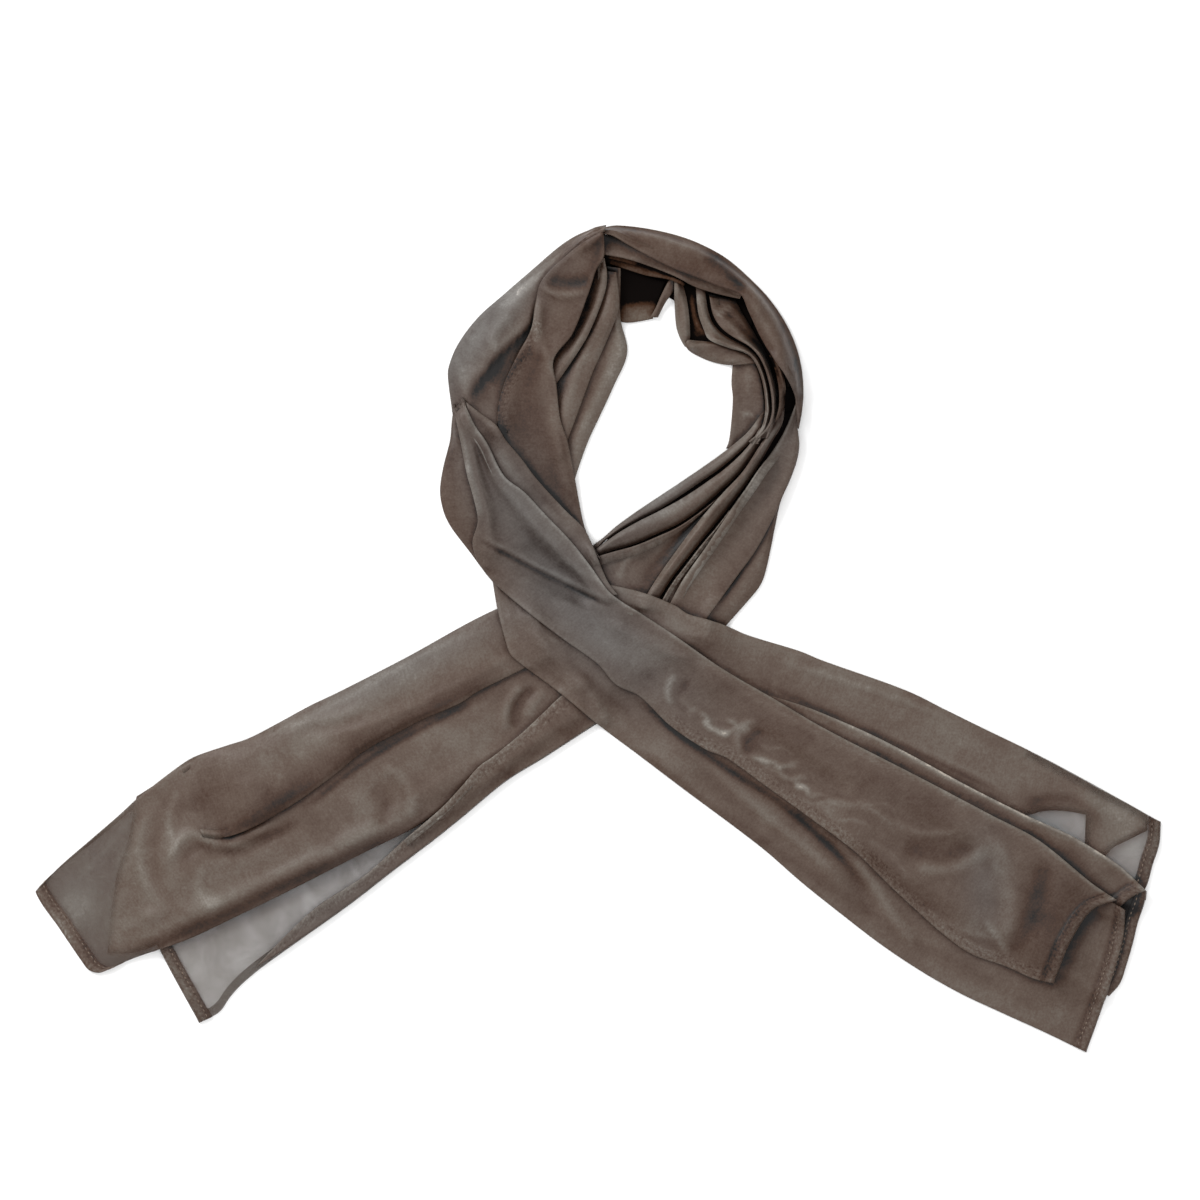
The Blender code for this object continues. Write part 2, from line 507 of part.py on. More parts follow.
def build_wall(stretch, underside, top):
    """A closed wall of cloth: a grid set on the underside, then drawn up to the top."""
    rows, columns = underside.shape[0] - 1, underside.shape[1] - 1
    cloth = bmesh.new()
    bmesh.ops.create_grid(cloth, x_segments=columns, y_segments=rows, size=0.5)
    spot = cloth.verts.layers.int.new("spot")
    corner = {}
    for vert in cloth.verts:
        i = round((vert.co.y + 0.5) * rows)
        j = round((vert.co.x + 0.5) * columns)
        vert[spot] = i * (columns + 1) + j
        vert.co = underside[i, j]
        corner[vert[spot]] = vert
    for face in list(cloth.faces):
        first = min(vert[spot] for vert in face.verts)
        bmesh.utils.face_split(face, corner[first], corner[first + columns + 2])
    drawn = bmesh.ops.extrude_face_region(cloth, geom=cloth.faces[:])
    for item in drawn["geom"]:
        if isinstance(item, bmesh.types.BMVert):
            item.co.z = top[divmod(item[spot], columns + 1)]
    bmesh.ops.recalc_face_normals(cloth, faces=cloth.faces[:])
    mesh = bpy.data.meshes.new(stretch.name)
    cloth.to_mesh(mesh)
    cloth.free()
    mesh.materials.append(fabric(stretch.colour))
    mesh.shade_smooth()
    mesh.set_sharp_from_angle(angle=math.radians(40))
    piece = bpy.data.objects.new(stretch.name, mesh)
    bpy.context.collection.objects.link(piece)
    return piece


def lay_stretch(stretch, pile):
    """Lays one stretch on the pile and builds its wall there."""
    grid, u, v = plan_of(stretch)
    grid[..., 2] += swell_of(stretch, grid) * (grid[..., 2] > 0)
    pile.lay(grid)
    for _ in range(2):
        soften(grid)
    pile.lay(grid)
    top = grid.copy()
    top[..., 2] += thickness_of(stretch, u, v)
    pile.add(top)
    build_wall(stretch, grid, top[..., 2])


def build_scarf():
    for old in list(bpy.data.objects):
        bpy.data.objects.remove(old)
    pile = Pile()
    for stretch in SCARF:
        lay_stretch(stretch, pile)


build_scarf()
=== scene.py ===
"""A sheer mesh scarf laid flat in a loop, dressed for the eye: its cloth, hems and stitches.

The scarf is one rectangle of organza, 1.60 m by 0.56 m. Gathered into a loose strand it goes
from the left end under the crossing, up the loop's right side, over its top, down its left
side, over the crossing and on to the right end. Seen from above it shows stretches of cloth
that lie on each other. Each is laid here as a thin shell, turned under at its folds, on what
lies beneath it. All the tables are in millimetres as seen from above: +X right, +Y up.
"""

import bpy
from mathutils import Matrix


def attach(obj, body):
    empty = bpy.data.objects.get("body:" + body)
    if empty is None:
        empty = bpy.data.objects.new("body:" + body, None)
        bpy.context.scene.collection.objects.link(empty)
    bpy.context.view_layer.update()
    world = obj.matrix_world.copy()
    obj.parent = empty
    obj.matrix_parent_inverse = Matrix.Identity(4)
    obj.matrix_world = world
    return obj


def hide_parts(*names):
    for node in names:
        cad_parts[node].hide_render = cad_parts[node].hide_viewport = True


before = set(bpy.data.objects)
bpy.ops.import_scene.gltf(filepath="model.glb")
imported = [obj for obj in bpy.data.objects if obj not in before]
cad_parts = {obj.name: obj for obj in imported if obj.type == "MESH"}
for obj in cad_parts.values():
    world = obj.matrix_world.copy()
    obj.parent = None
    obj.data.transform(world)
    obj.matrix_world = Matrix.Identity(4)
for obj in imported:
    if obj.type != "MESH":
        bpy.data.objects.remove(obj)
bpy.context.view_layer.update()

import math
from collections import namedtuple

import bmesh
import bpy
import numpy as np
from mathutils import Matrix, Vector

# The scarf, in metres
MM = 0.001
SPREAD = 0.845          # the scarf as it lies, from its left end to its right end
DEPTH = 0.620           # from the loop's top to the lowest corner of the right end
CLOTH_WALL = 0.0016     # a folded stretch at its turned edge
CORE_WALL = 0.0020      # hidden inner layers at their edge
SHELL = 0.0003          # the cloth's own thickness
TURN_BACK = 0.006       # cloth that runs back under a turned edge,
NARROW_BACK = 0.3       # which takes up at most this share of the width
TAIL_LIFT = 0.0001      # and stays this far off what it lies on
SELVEDGE_WIDTH = 0.008  # the dense woven band along a long edge

# Its hems, one at each short end, turned twice and sewn
HEM_WIDTH = 0.010
HEM_RISE = 0.0014       # how far the hem's layers stand above the cloth
HEM_FLAT = 0.3          # share of that rise that is a flat step; the rest is rounded
ROLLED_MORE = 1.8       # how much higher a hem stands that is not pressed flat
STITCH_PITCH = 0.004
STITCH_INSET = 0.0075   # from the hem's fold to its stitches
STITCH_LONG = 0.0024
STITCH_THICK = 0.0010
STITCH_SINK = 0.0004    # how far the stitches pull the hem in
LINE_WIDTH = 0.0012     # half the width of a line drawn along a hem
# Lines along a hem: distance from its fold, and how they change its tone: painted shade at its
# inner edge and along its stitches, and a painted highlight on its roll
HEM_LINES = [(HEM_WIDTH, -0.9), (STITCH_INSET, -0.6), (0.0035, 0.35)]
HEM_SHADE = 0.4         # how much browner the hem's three layers look

# The facets of its shells
CELL_ALONG = 0.0026     # along and across the strand
CELL_ACROSS = 0.0020
CORE_CELL = 0.0045      # and on the hidden inner layers
TURN_SIDES = 5          # round a turned edge
HEM_ROWS = 7            # across a hem
HEM_STEP = 0.0009       # the cloth's step up to it
# The last rows before a stretch's end, where its shell closes down
END_ROWS = (0.0016, 0.0011, 0.0006, 0.0002, 0.0)
END_CLOSE = END_ROWS[0]
END_PART = 0.15         # share of its thickness that is left at the very end
LINE_POINTS = 400       # points that an edge is drawn with,
MARK_POINTS = 90        # that a mark is drawn with,
KNOT_POINTS = 24        # and that either has from one row to the next

# How it is laid, layer on layer, by a map of heights seen from above
LAY_STEP = 0.001        # the map's cells
CLEARANCE = 0.0004      # left between cloth and the cloth it lies on
FLOOR_GAP = 0.0004      # and between the cloth's middle and the floor
CARRIER_SHARE = 0.08    # share of a stretch that lies on another that carries it
SETTLE_STEPS = 24
SAG = 0.02              # share of a bridge's height that cloth loses in a settling step
EDGE_SAG = 0.25         # and at its edges, which nothing draws tight

# Its form
RISE_RUN = 6            # a stretch rises over a sixth of its length from either end,
END_RISE = 0.25         # where it has this share of its rise
CREST_INSET = 0.001     # from a turned edge to the top of its puffed rim
CREST_WIDTH = 0.003
RIPPLE = 0.0005         # height of the small waves in the cloth
# Their cells along and across the cloth, and their share of that height
RIPPLES = [(0.045, 0.014, 1.0), (0.019, 0.008, 0.5)]
CALM_EDGE = 0.006       # over this they die down towards a turned edge
EDGE_RELIEF = 0.3       # share of the creases and humps that goes on over the edge
RELIEF = 1.4            # how much higher than stated creases stand, set as a whole
LIP_FALL = 0.0026       # width of a lip's falling side
LIP_FOOT = (0.003, 0.0025)  # from a lip to the groove at its foot, and its width
MARK_FADE = 5           # a mark fades out over a fifth of its length at either end,
MARK_END = 0.08         # where it keeps this share

# Its tone, from painted brown shade to painted grey sheen
TONE_GAIN = 1.3         # how much deeper than stated the tones are, set as a whole
EDGE_LIGHT = 0.0018     # width of the light on a turned edge that catches it
# Painted shade by depth: below the cloth close by, below that further off, and painted highlight
# above that close by. Each has the depth of its full effect and the tone it adds
DEPTH_SHADES = [(0.0018, -0.9), (0.0050, -0.9), (0.0012, 0.25)]
CLOSE_BLUR = 6          # rounds of averaging the height map over about 2 mm
WIDE_BLUR = 40          # and over about 5 mm
INSIDE = (0.7, 0.95)    # share of cloth around a cell that is not, and is, well inside

# Its weave
WEAVE_PITCH = 0.002     # as drawn
WAVE_PER_PITCH = 0.314  # a wave texture of this scale has a band each metre
# Noises, in cells to a metre: layers that cross, grain, crimped yarn, the selvedge's fuzz,
# and slubs, which run far along their thread
CLOUD_SCALE = 30.0
GRAIN_SCALE = 620.0
CRIMP_SCALE = 110.0
MOTTLE_SCALE = 420.0
THREAD_CELLS = (900.0, 60.0, 1.0)
# Share of light that one face of the shell stops, by its layers of cloth. A shell has two faces
COVER = {1: 0.38, 2: 0.62, 3: 1.0}
BACKING_EDGE = 6        # rounds of drawing in what backs a sheer cloth, half of them soft
SHEER_RUN = 60          # a stretch turns see-through within a sixtieth of its length

# Camera and light, in metres
FRAME_WIDTH = 0.900     # floor that the picture takes in, 0.75 mm to a pixel
CAMERA_HEIGHT = 4.0
SENSOR = 36.0
LOOK_AT = (0.0015, 0.0292, 0.0)
FLOOR_SIZE = 8.0
ROOM_LIGHT = 0.84
SOFTBOXES = [           # name, size, power in watts, place
    ("key_softbox", 1.1, 44.0, (-1.4, 1.4, 1.45)),
    ("overhead_softbox", 2.0, 15.0, (0.2, -0.2, 2.2)),
]

# How grey or brown a stretch looks before its own clouds: -1 in painted shade, 1 in full painted
# sheen
# DEEP is painted near-black shade, on the hidden layers where they show in the cavities
DEEP = -1.7
SHADE = -0.8
BROWN = 0.0
GREY = 0.45

# One stretch of cloth. near and far are its two long edges and end is the outline of its far
# short end: rows of (x, y) or (x, y, lift), where lift is the least height of its underside.
# wall is its thickness at its turned edges and rise what it gains in the middle, in metres;
# crest puffs up the edges, and swell lists soft humps. hem is a hem at its end, rolled or
# sewn, and selvedge lists (edge, from, to) where the woven band runs, as shares of its length.
# core marks hidden layers. layers is how many layers of cloth it stands for: one or two are
# see-through, from the share of its length given by sheer. fade is how far from its start and
# from its end it melts into the cloth below it.
Stretch = namedtuple("Stretch", "name tone near far end wall rise hem swell crest selvedge core "
                     "layers sheer fade",
                     defaults=((), CLOTH_WALL, 0.0, False, (), 0.0005, (), False, 3, 0, (0, 0)))
# A soft hump: middle, radius and height
Swell = namedtuple("Swell", "x y radius height")

# The strand's lower turn: what runs under the crossing and on to the left end
UNDER_CROSSING = [
    Stretch("core_crossing", tone=DEEP,
            near=[(14, 36), (-25, 25), (-64, 12)],
            far=[(82, 2), (38, -22), (-4, -48)],
            wall=CORE_WALL, rise=0.006, core=True),
]

# The loop's right bend: what lies lowest where the folds draw together
LOOP_BEND = [
    Stretch("core_loop_bend", tone=DEEP,
            near=[(110, 253), (123, 231), (137, 212), (147, 197), (151, 182), (150, 168)],
            far=[(92, 231), (104, 222), (114, 212), (120, 197), (124, 178), (122, 154)],
            wall=0.0012, rise=0.0005, core=True),
    Stretch("loop_inner_panel", tone=BROWN,
            near=[(101, 207), (100, 192), (101, 181), (100, 164), (98, 148), (96, 143)],
            far=[(117, 209), (121, 198), (124, 184), (125, 170), (122, 156), (110, 140)]),
]

# Pleats down the loop's right side, from the neck hole outwards, over their core
RIGHT_SIDE = [
    Stretch("core_right_side", tone=DEEP,
            near=[(119, 162), (104, 143), (88, 133), (66, 118), (46, 105), (28, 92), (10, 78),
                  (2, 66), (4, 52), (9, 38)],
            far=[(149, 172), (148, 158), (140, 134), (132, 112), (118, 88), (100, 60), (88, 38),
                 (79, 12)],
            wall=CORE_WALL, rise=0.002, core=True),
    Stretch("right_pleat_inner", tone=GREY,
            near=[(124, 171), (112, 155), (98, 143), (83, 132), (64, 119), (46, 107), (28, 95),
                  (13, 84), (4, 76), (-4, 70), (-7, 66)],
            far=[(129, 167), (117, 150), (105, 139), (92, 128), (76, 117), (60, 106), (46, 97),
                 (31, 89), (18, 82), (6, 74), (-1, 67)],
            rise=0.003, fade=(14, 0)),
    Stretch("right_pleat_second", tone=0.3,
            near=[(121, 158), (112, 144), (98, 130), (82, 118), (64, 106), (46, 96), (30, 88),
                  (16, 80), (6, 73), (-2, 67)],
            far=[(129, 156), (118, 139), (104, 122), (90, 109), (75, 96), (60, 86), (45, 79),
                 (28, 71), (10, 66), (0, 61)],
            rise=0.006),
    Stretch("right_panel_flat", tone=-0.05,
            near=[(104, 119), (90, 106), (75, 94), (60, 84), (45, 77), (28, 70), (10, 65),
                  (-3, 61)],
            far=[(100, 112), (86, 98), (76, 85), (66, 73), (56, 60), (47, 48), (38, 35), (31, 24)],
            end=[(-3, 61), (2, 46), (14, 33), (31, 24)]),
    Stretch("right_pleat_third", tone=0.35,
            near=[(131, 172), (129, 158), (121, 145), (108, 125), (94, 110), (80, 94), (68, 79),
                  (57, 64), (47, 50), (38, 36), (33, 26)],
            far=[(140, 173), (138, 161), (130, 147), (120, 129), (106, 109), (92, 91), (78, 74),
                 (66, 59), (56, 46), (47, 32), (43, 23)],
            rise=0.006),
    Stretch("right_selvedge_band", tone=GREY,
            near=[(98, 96), (88, 83), (77, 70), (67, 57), (57, 44), (50, 33), (46, 25)],
            far=[(104, 95), (95, 82), (85, 68), (75, 55), (67, 44), (60, 33), (56, 23)],
            selvedge=[("near", 0, 1), ("far", 0, 1)]),
    Stretch("right_outer_fold", tone=BROWN,
            near=[(147, 152), (142, 124), (134, 102), (124, 84), (110, 64), (97, 46), (84, 28),
                  (74, 12), (68, 2)],
            far=[(150, 156), (151, 145), (149, 133), (144, 119), (137, 103), (133, 85), (129, 65),
                 (125, 48), (121, 39), (112, 28), (96, 10), (88, 2)],
            rise=0.003),
    Stretch("right_outer_panel", tone=BROWN,
            near=[(150, 182, 4), (144, 166, 7), (138, 153, 8), (130, 140, 8), (120, 127, 8),
                  (112, 115, 8), (100, 98, 7), (90, 83, 7), (80, 68, 6), (70, 54, 6), (62, 42, 6),
                  (54, 27, 6), (50, 19, 6)],
            far=[(153, 178), (149.6, 158), (150.5, 146), (148, 132), (142.5, 117), (138, 106),
                 (131, 90), (118, 66), (105, 48), (92, 30), (82, 16), (76, 6)],
            rise=0.001),
]

# The scarf's left end, which comes out from under the crossing
LEFT_END = [
    Stretch("core_left_end", tone=BROWN,
            near=[(-68, 6), (-105, 0), (-146, -19), (-195, -45), (-238, -69), (-273, -84),
                  (-303, -94), (-325, -105), (-346, -118)],
            far=[(-22, -54), (-60, -82), (-100, -112), (-135, -136), (-175, -156), (-232, -185),
                 (-273, -205), (-307, -221), (-327, -228), (-347, -235), (-368, -236)],
            end=[(-346, -118), (-353, -154), (-361, -178), (-368, -236)],
            wall=0.0014, rise=0.004, core=True),
    Stretch("left_end_lower_panel", tone=GREY,
            near=[(-14, -52), (-60, -78), (-108, -103), (-160, -135), (-208, -162), (-283, -196),
                  (-310, -203), (-337, -208)],
            far=[(2, -62), (-9, -69), (-40, -89), (-69, -107), (-103, -135), (-123, -151),
                 (-152, -173), (-187, -200), (-232, -232), (-254, -248), (-268, -260),
                 (-276, -269), (-284, -280), (-299, -288)],
            end=[(-337, -208), (-329, -232), (-299, -288)],
            hem="sewn", layers=1),
    Stretch("left_end_upper_panel", tone=0.15,
            near=[(-36, 0), (-60, -12), (-130, -50), (-205, -76), (-240, -70), (-262, -75),
                  (-285, -82), (-304, -89), (-319, -99), (-347, -121), (-359, -132), (-381, -151),
                  (-404, -171), (-417, -185)],
            far=[(-2, -46), (-24, -60), (-60, -86), (-100, -116), (-115, -126, 3), (-135, -140, 4),
                 (-175, -160, 4), (-232, -189, 4), (-273, -209, 4), (-307, -225, 2), (-327, -232),
                 (-347, -239), (-364, -246)],
            end=[(-417, -185), (-421, -190), (-403, -217), (-386, -242), (-381, -248),
                 (-373, -250), (-364, -246)],
            hem="sewn",
            swell=[Swell(-300, -175, 60, 5), Swell(-200, -150, 50, 4), Swell(-120, -95, 45, 3)],
            layers=2, sheer=0.77),
    Stretch("left_end_turned_edge", tone=-0.15,
            near=[(-12, -32), (-26, -41), (-44, -58), (-58, -71), (-79, -88), (-89, -95),
                  (-102, -110), (-118, -127), (-146, -151), (-175, -177), (-210, -200),
                  (-235, -223), (-254, -243)],
            far=[(4, -59), (-9, -68), (-40, -88), (-69, -106), (-103, -134), (-123, -150),
                 (-152, -172), (-187, -199), (-232, -231), (-256, -246)],
            selvedge=[("near", 0.05, 1)]),
    Stretch("left_end_top_roll", tone=BROWN,
            near=[(-52, 26), (-75, 23), (-146, -15), (-195, -40), (-216, -50), (-238, -62),
                  (-261, -74), (-284, -82), (-301, -88), (-312, -95)],
            far=[(-38, -12), (-55, -22), (-65, -27), (-91, -40), (-103, -48), (-133, -61),
                 (-146, -68), (-175, -84), (-195, -100), (-218, -117), (-235, -128), (-256, -140),
                 (-278, -148), (-296, -147)],
            rise=0.004, fade=(0, 42),
            swell=[Swell(-170, -62, 45, 4), Swell(-260, -118, 40, 4)]),
]

# The neck hole's upper rim: the loop's back, its pleats and the rolled top, over their cores
LOOP_TOP = [
    Stretch("core_loop_back", tone=DEEP,
            near=[(0, 290), (20, 286), (45, 280), (65, 272), (85, 265), (104, 258), (118, 248)],
            far=[(3, 262), (18, 250), (46, 258), (66, 247), (84, 229), (98, 220), (112, 214)],
            wall=0.0012, rise=0.0005, core=True),
    Stretch("core_loop_top", tone=DEEP,
            near=[(6, 302), (20, 303), (50, 298), (80, 287), (105, 268), (128, 243), (141, 213),
                  (146, 190)],
            far=[(6, 290), (20, 287), (45, 281), (65, 273), (85, 266), (108, 256), (120, 236),
                 (131, 216), (139, 198), (143, 188)],
            wall=0.012, rise=0.006, core=True),
    Stretch("loop_back_band", tone=SHADE,
            near=[(12, 282), (22, 278), (36, 272), (51, 268)],
            far=[(16, 238), (22, 237), (31, 238), (41, 240)],
            end=[(51, 268), (47, 257), (41, 240)]),
    Stretch("loop_box_pleat_left", tone=BROWN,
            near=[(39, 241), (43, 248, 2), (47, 257, 4), (51, 265, 6), (54, 270, 8)],
            far=[(45, 241), (50, 251, 2), (54, 257, 4), (57, 262, 6), (57, 269, 8)]),
    Stretch("loop_box_panel", tone=-0.9,
            near=[(64, 266), (65, 250), (66, 235), (66, 220)],
            far=[(80, 262), (80, 246), (84, 232), (93, 217)]),
    Stretch("loop_box_pleat_right", tone=GREY,
            near=[(57, 268, 6), (57, 257, 4), (57.5, 247, 3), (58, 239, 3), (59, 232, 3),
                  (62, 224, 3), (65, 219, 3)],
            far=[(63, 267, 6), (66, 257, 4), (68, 245, 3), (69, 232, 3), (69, 219, 3)],
            rise=0.003),
    Stretch("loop_bulge", tone=0.1,
            near=[(65, 220), (68, 216), (75, 212), (83, 208.5), (92, 206), (101, 205)],
            far=[(67, 224), (80, 223), (92, 221), (104, 217), (115, 211), (119, 206)],
            rise=0.003),
    Stretch("loop_fold_first", tone=GREY,
            near=[(73, 264), (75, 244), (79, 232), (83, 224), (97, 218), (112, 213), (119, 204),
                  (124, 188), (125, 170), (122, 158), (114, 147)],
            far=[(80, 262), (83, 244), (88, 234), (97, 226), (112, 218), (121, 208), (127, 191),
                 (129, 172), (126, 158), (118, 146)],
            rise=0.004, fade=(0, 14)),
    Stretch("loop_fold_second", tone=-0.4,
            near=[(83, 258), (86, 243), (92, 233), (101, 226), (114, 218), (122, 208), (128, 191),
                  (130, 172), (127, 160), (120, 150)],
            far=[(103, 254), (110, 241), (118, 228), (126, 214), (130, 202), (134, 188),
                 (134, 172), (131, 160), (125, 150)],
            rise=0.005, fade=(0, 14)),
    Stretch("loop_fold_third", tone=SHADE,
            near=[(128, 212), (132, 202), (135, 188), (135, 174), (132, 162)],
            far=[(132, 211), (137, 202), (140, 190), (140, 177), (137, 167)],
            rise=0.003),
    Stretch("loop_strip_lower", tone=SHADE,
            near=[(4, 288, 9), (20, 285, 9), (36, 280, 9), (52, 274, 9), (66, 268, 9)],
            far=[(5, 282, 8), (20, 277, 8), (36, 272, 8), (52, 269, 8), (64, 264, 8)]),
    Stretch("loop_strip_upper", tone=-0.5,
            near=[(1, 303, 16), (14, 300, 15), (24, 294, 14), (34, 289, 14), (50, 283, 14),
                  (66, 276, 14), (82, 270, 14), (98, 264, 14), (108, 260, 13)],
            far=[(4, 287, 12), (20, 284, 12), (40, 278, 12), (57, 271, 12), (73, 263, 12),
                 (89, 258, 12), (106, 254, 12)]),
]

# The neck hole's left side, from the hole outwards, and the loop's rolled top over its end
LOOP_LEFT = [
    Stretch("core_loop_left", tone=DEEP,
            near=[(-8, 297), (-35, 278), (-70, 248), (-97, 215), (-104, 180), (-106, 140),
                  (-106, 105), (-84, 66)],
            far=[(-14, 284), (-35, 262), (-53, 225), (-56, 180), (-50, 150), (-42, 128),
                 (-30, 106), (-16, 84)],
            wall=CORE_WALL, rise=0.008, core=True),
    Stretch("loop_left_inner_strip", tone=GREY,
            near=[(4, 279), (4, 272), (0, 245), (-14, 205), (-28, 165), (-34, 135), (-29, 108)],
            far=[(17, 277), (17, 270), (17, 240), (22, 215), (12, 190), (0, 164), (-7, 149),
                 (-14, 130), (-18, 117), (-21, 106)],
            rise=0.002),
    Stretch("loop_left_middle_strip", tone=BROWN,
            near=[(-2, 276), (-8, 242), (-33, 208), (-44, 172), (-42, 148)],
            far=[(14, 274, 2), (16, 250, 3), (12, 236, 3), (-4, 199, 3), (-17, 164, 3),
                 (-24, 146, 2), (-29, 136)],
            rise=0.003),
    Stretch("loop_left_outer_strip", tone=BROWN,
            near=[(-12, 282), (-14, 256), (-27, 222), (-42, 198), (-48, 182)],
            far=[(5, 284, 6), (7, 272, 6), (5, 258, 6), (-7, 228, 6), (-18, 210, 6), (-31, 191, 6),
                 (-38, 179, 3)],
            rise=0.003),
    Stretch("loop_top_roll", tone=-0.6,
            near=[(-4, 305), (7, 309), (16, 310), (40, 307), (64, 301), (83, 293), (98, 284),
                  (114, 270), (127, 256.5), (138.5, 240.5), (147, 223.5), (152, 206.5), (154, 189),
                  (153, 172), (150.3, 157)],
            far=[(-6, 297, 20), (6, 302, 22), (24, 293, 22), (35, 287, 22), (55, 277, 22),
                 (73, 270, 22), (93, 262, 21), (106, 257, 20), (112, 245, 19), (121, 226, 17),
                 (131, 209, 15), (140, 196, 13), (147, 182, 11), (148, 173, 9), (149.3, 158, 8)]),
    Stretch("loop_left_outer_band", tone=0.15,
            near=[(6, 309.5), (-13, 304), (-28, 295), (-48, 278), (-71, 258), (-90, 241),
                  (-105, 221), (-112, 204), (-112.5, 195), (-109, 168), (-108, 158)],
            far=[(5, 304, 22), (-9, 295, 18), (-24, 279, 14), (-38, 260, 10), (-44, 245, 8),
                 (-48, 230, 7), (-56, 208, 6), (-64, 190, 6), (-70, 172, 6), (-76, 155, 6)],
            swell=[Swell(-82, 225, 28, 5)]),
    Stretch("loop_left_panel", tone=-0.7,
            near=[(3, 304, 24), (-9, 297, 22), (-23, 287, 18), (-42, 268, 15), (-47, 250, 12),
                  (-50, 232, 9), (-60, 213, 8), (-70, 192, 8), (-75, 173, 8), (-75, 158, 8),
                  (-69, 142, 8), (-54, 120, 8), (-34, 98, 7), (-14, 82, 5), (-4, 66, 4)],
            far=[(4.5, 300, 24), (4.5, 285, 22), (-1, 276, 20), (-6, 261, 18), (-19, 228, 15),
                 (-33, 209, 13), (-31, 190, 11), (-28, 164, 8), (-23, 149, 6), (-17, 119, 3),
                 (-13, 97, 2), (-10, 84, 2), (-5, 72, 2), (3, 58, 4)],
            rise=0.001, selvedge=[("near", 0.3, 0.62)]),
]

